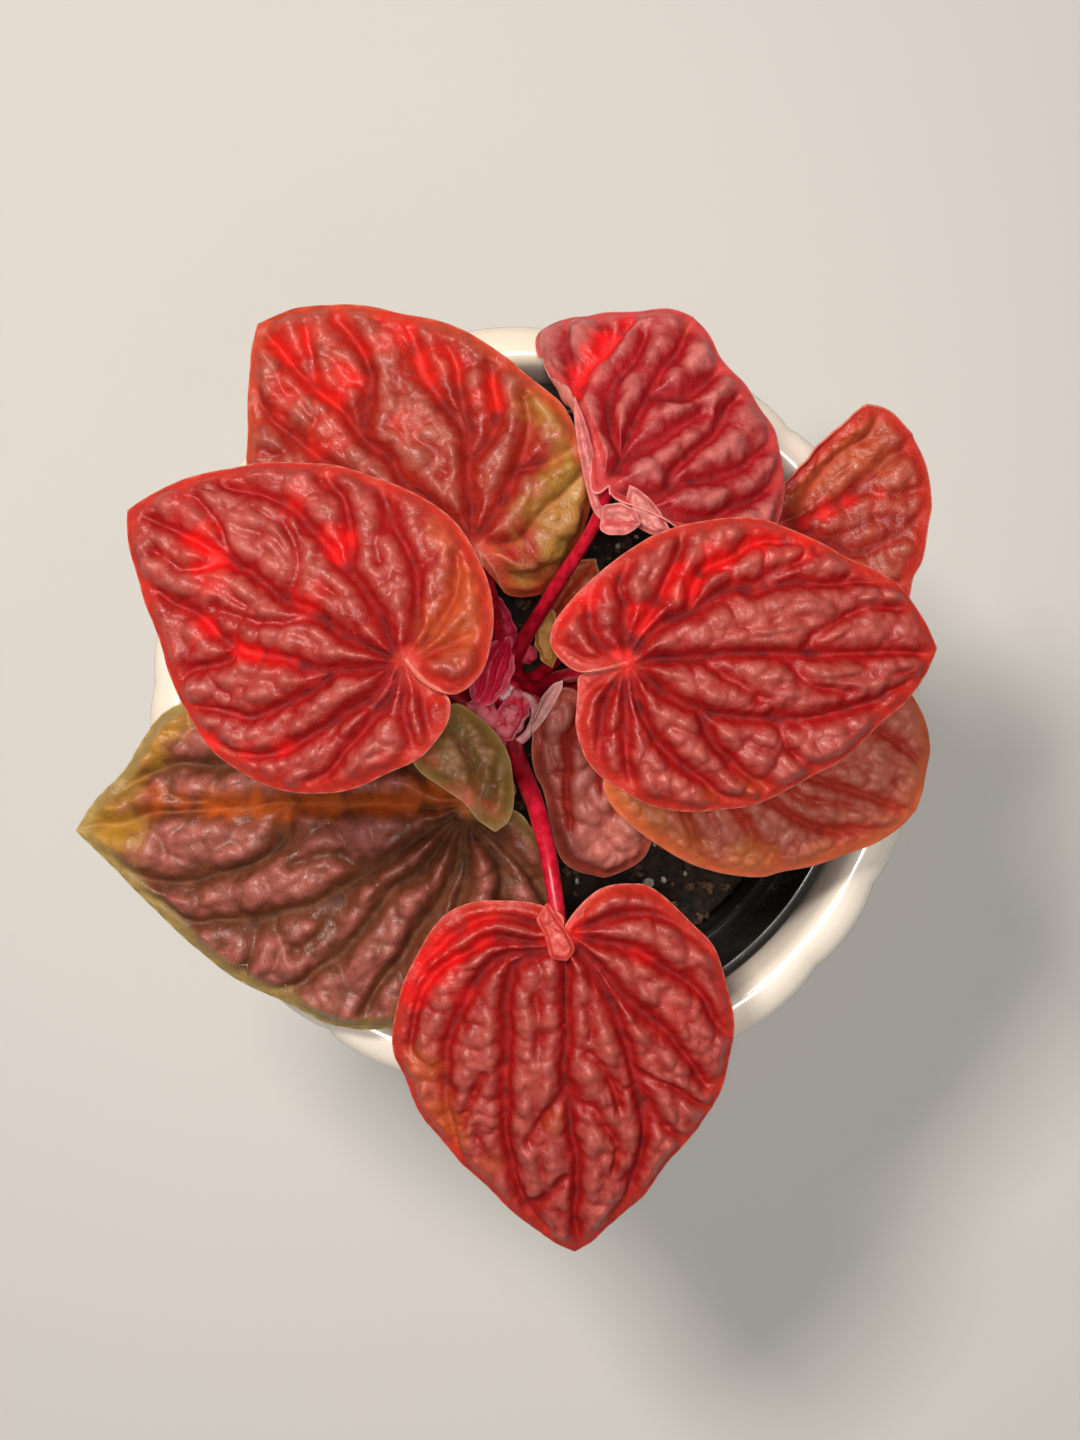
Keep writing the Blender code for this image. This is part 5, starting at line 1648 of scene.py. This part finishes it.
@dataclass(frozen=True)
class Bud:
    """A swollen bud or an unopened leaf that is still a ball, with grooves between its lobes."""

    name: str
    node: str
    centre: Place
    half_width: float
    height: float
    lobes: int = 3
    stretch: float = 1.0
    heading: float = 0.0
    skin: LeafSkin = YOUNG_SKIN
    groove_width: float = 0.22
    groove_depth: float = 0.16
    turns: int = 56
    rings: int = 34

    def build(self) -> bpy.types.Object:
        """Turn a rounded egg and press the grooves into it.

        Returns:
            The bud.
        """
        polar = np.linspace(0.0, np.pi, self.rings + 2)[1:-1]
        angle = np.linspace(0.0, 2 * np.pi, self.turns, endpoint=False)
        p, a = np.meshgrid(polar, angle, indexing="ij")
        groove = np.exp(-(np.sin(0.5 * self.lobes * a + 0.9 * p) / self.groove_width) ** 2) * np.sin(p)
        plump = 1.0 - self.groove_depth * groove + 0.04 * drift(3.0 * a, 3.0 * p, 1.0, 3)
        long, wide = np.cos(a) * np.sin(p) * plump * self.stretch, np.sin(a) * np.sin(p) * plump
        c, s = math.cos(math.radians(self.heading)), math.sin(math.radians(self.heading))
        x, y, z = self.centre
        rings = np.stack([x + self.half_width * (long * c - wide * s),
                          y + self.half_width * (long * s + wide * c),
                          z - 0.5 * self.height * np.cos(p) * plump], axis=-1)
        piece = revolve_mesh(self.name, rings, (x, y, z - 0.5 * self.height), (x, y, z + 0.5 * self.height),
                             material_of(self.skin))
        size = len(piece.data.vertices)
        # The relief mark paints shade into the grooves and a pale highlight onto the lobes.
        share = np.concatenate([(0.9 - 0.8 * groove).reshape(-1), [0.9, 0.9]])
        for label, values in (("relief", share), ("edge", np.full(size, 5.0))):
            mark = piece.data.attributes.new(label, "FLOAT", "POINT")
            mark.data.foreach_set("value", values.astype(np.float32))
        return piece


BUDS = [Bud("bud_behind", "bud_back", (-1.2, 9.4, 100.2), 1.7, 4.2, skin=FRESH_SKIN),
        Bud("bud_beside", "bud_side", (-0.3, 1.5, 99.2), 1.35, 3.6, skin=FRESH_SKIN),
        Bud("bud_before", "bud_front", (-0.5, -2.9, 95.6), 1.0, 3.0, skin=FRESH_SKIN),
        Bud("young_ball_large", "", (-8.1, -1.0, 102.0), 2.2, 3.8, 2, 1.08, 0.0),
        Bud("young_ball_small", "", (-11.6, 0.0, 101.2), 1.5, 3.0, 2, 1.2, 20.0),
        Bud("curled_ball_upper", "", (-4.0, -0.5, 103.2), 1.45, 2.6, 3, 1.15, 60.0),
        Bud("curled_ball_lower", "", (-5.0, -3.3, 102.8), 1.25, 2.4, 2, 1.5, 20.0),
        Bud("curled_ball_top", "", (-2.9, 2.8, 102.4), 1.0, 2.4, 2)]


@dataclass
class Studio:
    """The camera over the plant, three soft lamps, a pale floor and pale light all round."""

    eye: Place = (0.9, -1.5, 448.0)
    lens: float = 52.7
    sensor: float = 36.0
    world: float = 0.145
    reach: float = 2500.0
    aim: Place = (0.0, 0.0, 110.0)

    def lamp(self, role: Role, place: Place, size: float, power: float, colour: str) -> None:
        """Hang a square area lamp that points at the plant.

        Args:
            role: What it does.
            place: Where it hangs, in millimetres.
            size: Side length in millimetres.
            power: Watts.
            colour: Its colour.
        """
        data = bpy.data.lights.new(role.value, "AREA")
        data.size = size * MM
        data.energy = power
        data.color = linear(colour)[:3]
        made = bpy.data.objects.new(role.value, data)
        made.location = Vector(place) * MM
        aim = Vector(self.aim) * MM - made.location
        made.rotation_euler = aim.to_track_quat("-Z", "Y").to_euler()
        bpy.context.scene.collection.objects.link(made)

    def build(self) -> None:
        """Set up the floor, lamps, world and camera."""
        material, tree, place = new_material("floor_matt_paint")
        cloud = add(tree, "ShaderNodeTexNoise", None, {"Vector": place, "Scale": 3.0, "Detail": 2.0})
        tone = add(tree, "ShaderNodeMix", {"data_type": "RGBA"},
                   {"Factor": cloud, "A": linear("#d9d7d3"), "B": linear("#dfddd9")})
        shader = add(tree, "ShaderNodeBsdfPrincipled", None, {"Base Color": tone, "Roughness": 0.8})
        add(tree, "ShaderNodeOutputMaterial", None, {"Surface": shader})
        corners = np.array([(-1, -1, 0), (1, -1, 0), (1, 1, 0), (-1, 1, 0)]) * self.reach
        mesh_object("floor", corners, [[0, 1, 2, 3]], material)
        self.lamp(Role.KEY, (-190.0, 220.0, 640.0), 130.0, 3.0, "#fff6ec")
        self.lamp(Role.FILL, (180.0, -200.0, 640.0), 360.0, 0.45, "#fff8f2")
        self.lamp(Role.TOP, (0.0, 0.0, 700.0), 70.0, 1.2, "#fffaf4")
        scene = bpy.context.scene
        world = bpy.data.worlds.new("studio")
        world.use_nodes = True
        world.node_tree.nodes["Background"].inputs["Color"].default_value = linear("#f2f4f8")
        world.node_tree.nodes["Background"].inputs["Strength"].default_value = self.world
        scene.world = world
        scene.view_settings.view_transform = "Standard"
        data = bpy.data.cameras.new("camera")
        data.lens = self.lens
        data.sensor_fit = "AUTO"
        data.sensor_width = self.sensor
        data.clip_start = 0.01
        camera = bpy.data.objects.new("camera", data)
        camera.location = Vector(self.eye) * MM
        scene.collection.objects.link(camera)
        scene.camera = camera


def grow_stalk(stalk: Stalk, crown: Crown, joint: Place, tree: bpy.types.NodeTree,
               finish: StalkSkin | LeafSkin) -> bpy.types.Object:
    """Sweep one stalk.

    Args:
        stalk: Its route and radii.
        crown: The stem it grows from.
        joint: The blade's joint.
        tree: The sweeping tree.
        finish: Its skin.

    Returns:
        The stalk.
    """
    points, radius = stalk.path(crown, joint)
    line = mesh_object(stalk.name + "_path", points, [], None, {"thickness": radius * MM},
                       [(k, k + 1) for k in range(len(points) - 1)])
    return grown(line, tree, {"Sides": 20, "Groove": stalk.groove, "Lumps": 0.25 * MM,
                              "Material": material_of(finish)}, stalk.name)


@dataclass(frozen=True)
class Trim:
    """Something small that follows a line: the pale rim of a curled leaf, or hairs on a margin."""

    name: str
    points: list[Place]
    thickness: float

    def line(self) -> bpy.types.Object:
        """Draw the line, with its thickness, tapered at both ends.

        Returns:
            The line, as loose edges.
        """
        path = smooth_path(self.points, TRIM_POINTS)
        share = np.linspace(0.0, 1.0, TRIM_POINTS)
        taper = 0.35 + 0.65 * np.sin(np.pi * share) ** 0.5
        return mesh_object(self.name + "_path", path, [], None, {"thickness": self.thickness * MM * taper},
                           [(k, k + 1) for k in range(TRIM_POINTS - 1)])


CURL_RIM = Trim("young_leaf_curl_rim", [(-2.9, 3.2, 102.3), (-0.6, 1.9, 103.1), (0.1, -1.1, 103.6),
                                        (-1.6, -4.3, 103.5), (-4.6, -5.8, 102.9), (-7.0, -4.6, 102.2)], 0.75)
MARGIN_HAIRS = Trim("old_leaf_hairs", [(-39.5, -42.4, 112.6), (-43.5, -41.0, 112.8),
                                       (-47.4, -38.8, 113.0)], 0.05)


def main() -> None:
    """Build the plant and its pots, and report each piece."""
    logging.basicConfig(level=logging.INFO, format="%(name)s: %(message)s")
    Studio().build()
    seat(CoverPot().build(), "glazed_ceramic", "cover_pot")
    seat(NurseryPot().build(), "black_plastic", "nursery_pot")
    soil = Soil()
    ground = soil.build()
    crumbs = crumb_tree()
    bark = soil.strew(ground, crumbs, "bark_crumbs", BARK,
                      {"Density": 130000.0, "Smallest": 0.5 * MM, "Largest": 1.6 * MM,
                       "Unevenness": 0.9 * MM, "Seed": 4})
    perlite = soil.strew(ground, crumbs, "perlite_grains", PERLITE,
                         {"Density": 24000.0, "Smallest": 0.4 * MM, "Largest": 1.3 * MM,
                          "Unevenness": 0.4 * MM, "Seed": 9})
    seat(ground, "potting_soil", "soil")
    seat(bark, "potting_soil")
    seat(perlite, "potting_soil")
    crown = Crown()
    seat(crown.build(), "petiole_red", "crown_stem")
    sweep = sweep_tree()
    for blade in BLADES:
        node = blade.name.removeprefix("leaf_")
        blade.dress("blade_" + node)
        stalk = grow_stalk(STALKS[node], crown, blade.joint, sweep, STALK_SKIN)
        seat(stalk, "petiole_red", "petiole_" + node)
    for blade, node in zip(YOUNG_LEAVES, ("young_folded", "young_bumpy", "young_curled")):
        blade.dress(node)
    for flap in FLAPS:
        flap.dress()
    seat(grown(CURL_RIM.line(), sweep, {"Sides": 16, "Groove": 0.0, "Lumps": 0.3 * MM,
                                        "Material": material_of(PALE_RIM)}, CURL_RIM.name), "young_pink")
    seat(grown(MARGIN_HAIRS.line(), hair_tree(), {
        "Count": 26, "Radius": 0.05 * MM, "Shortest": 0.8 * MM, "Longest": 2.6 * MM, "Seed": 6,
        "Material": material_of(HAIR)}, MARGIN_HAIRS.name), "leaf_olive")
    for bud in BUDS:
        seat(bud.build(), "young_pink", *([bud.node] if bud.node else []))
    DRIED_LEAF.dress("dried_blade")
    seat(grow_stalk(DRIED_STALK, crown, DRIED_LEAF.joint, sweep, DRIED_SKIN), "dried_leaf", "dried_petiole")
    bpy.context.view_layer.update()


if __name__ == "__main__":
    main()
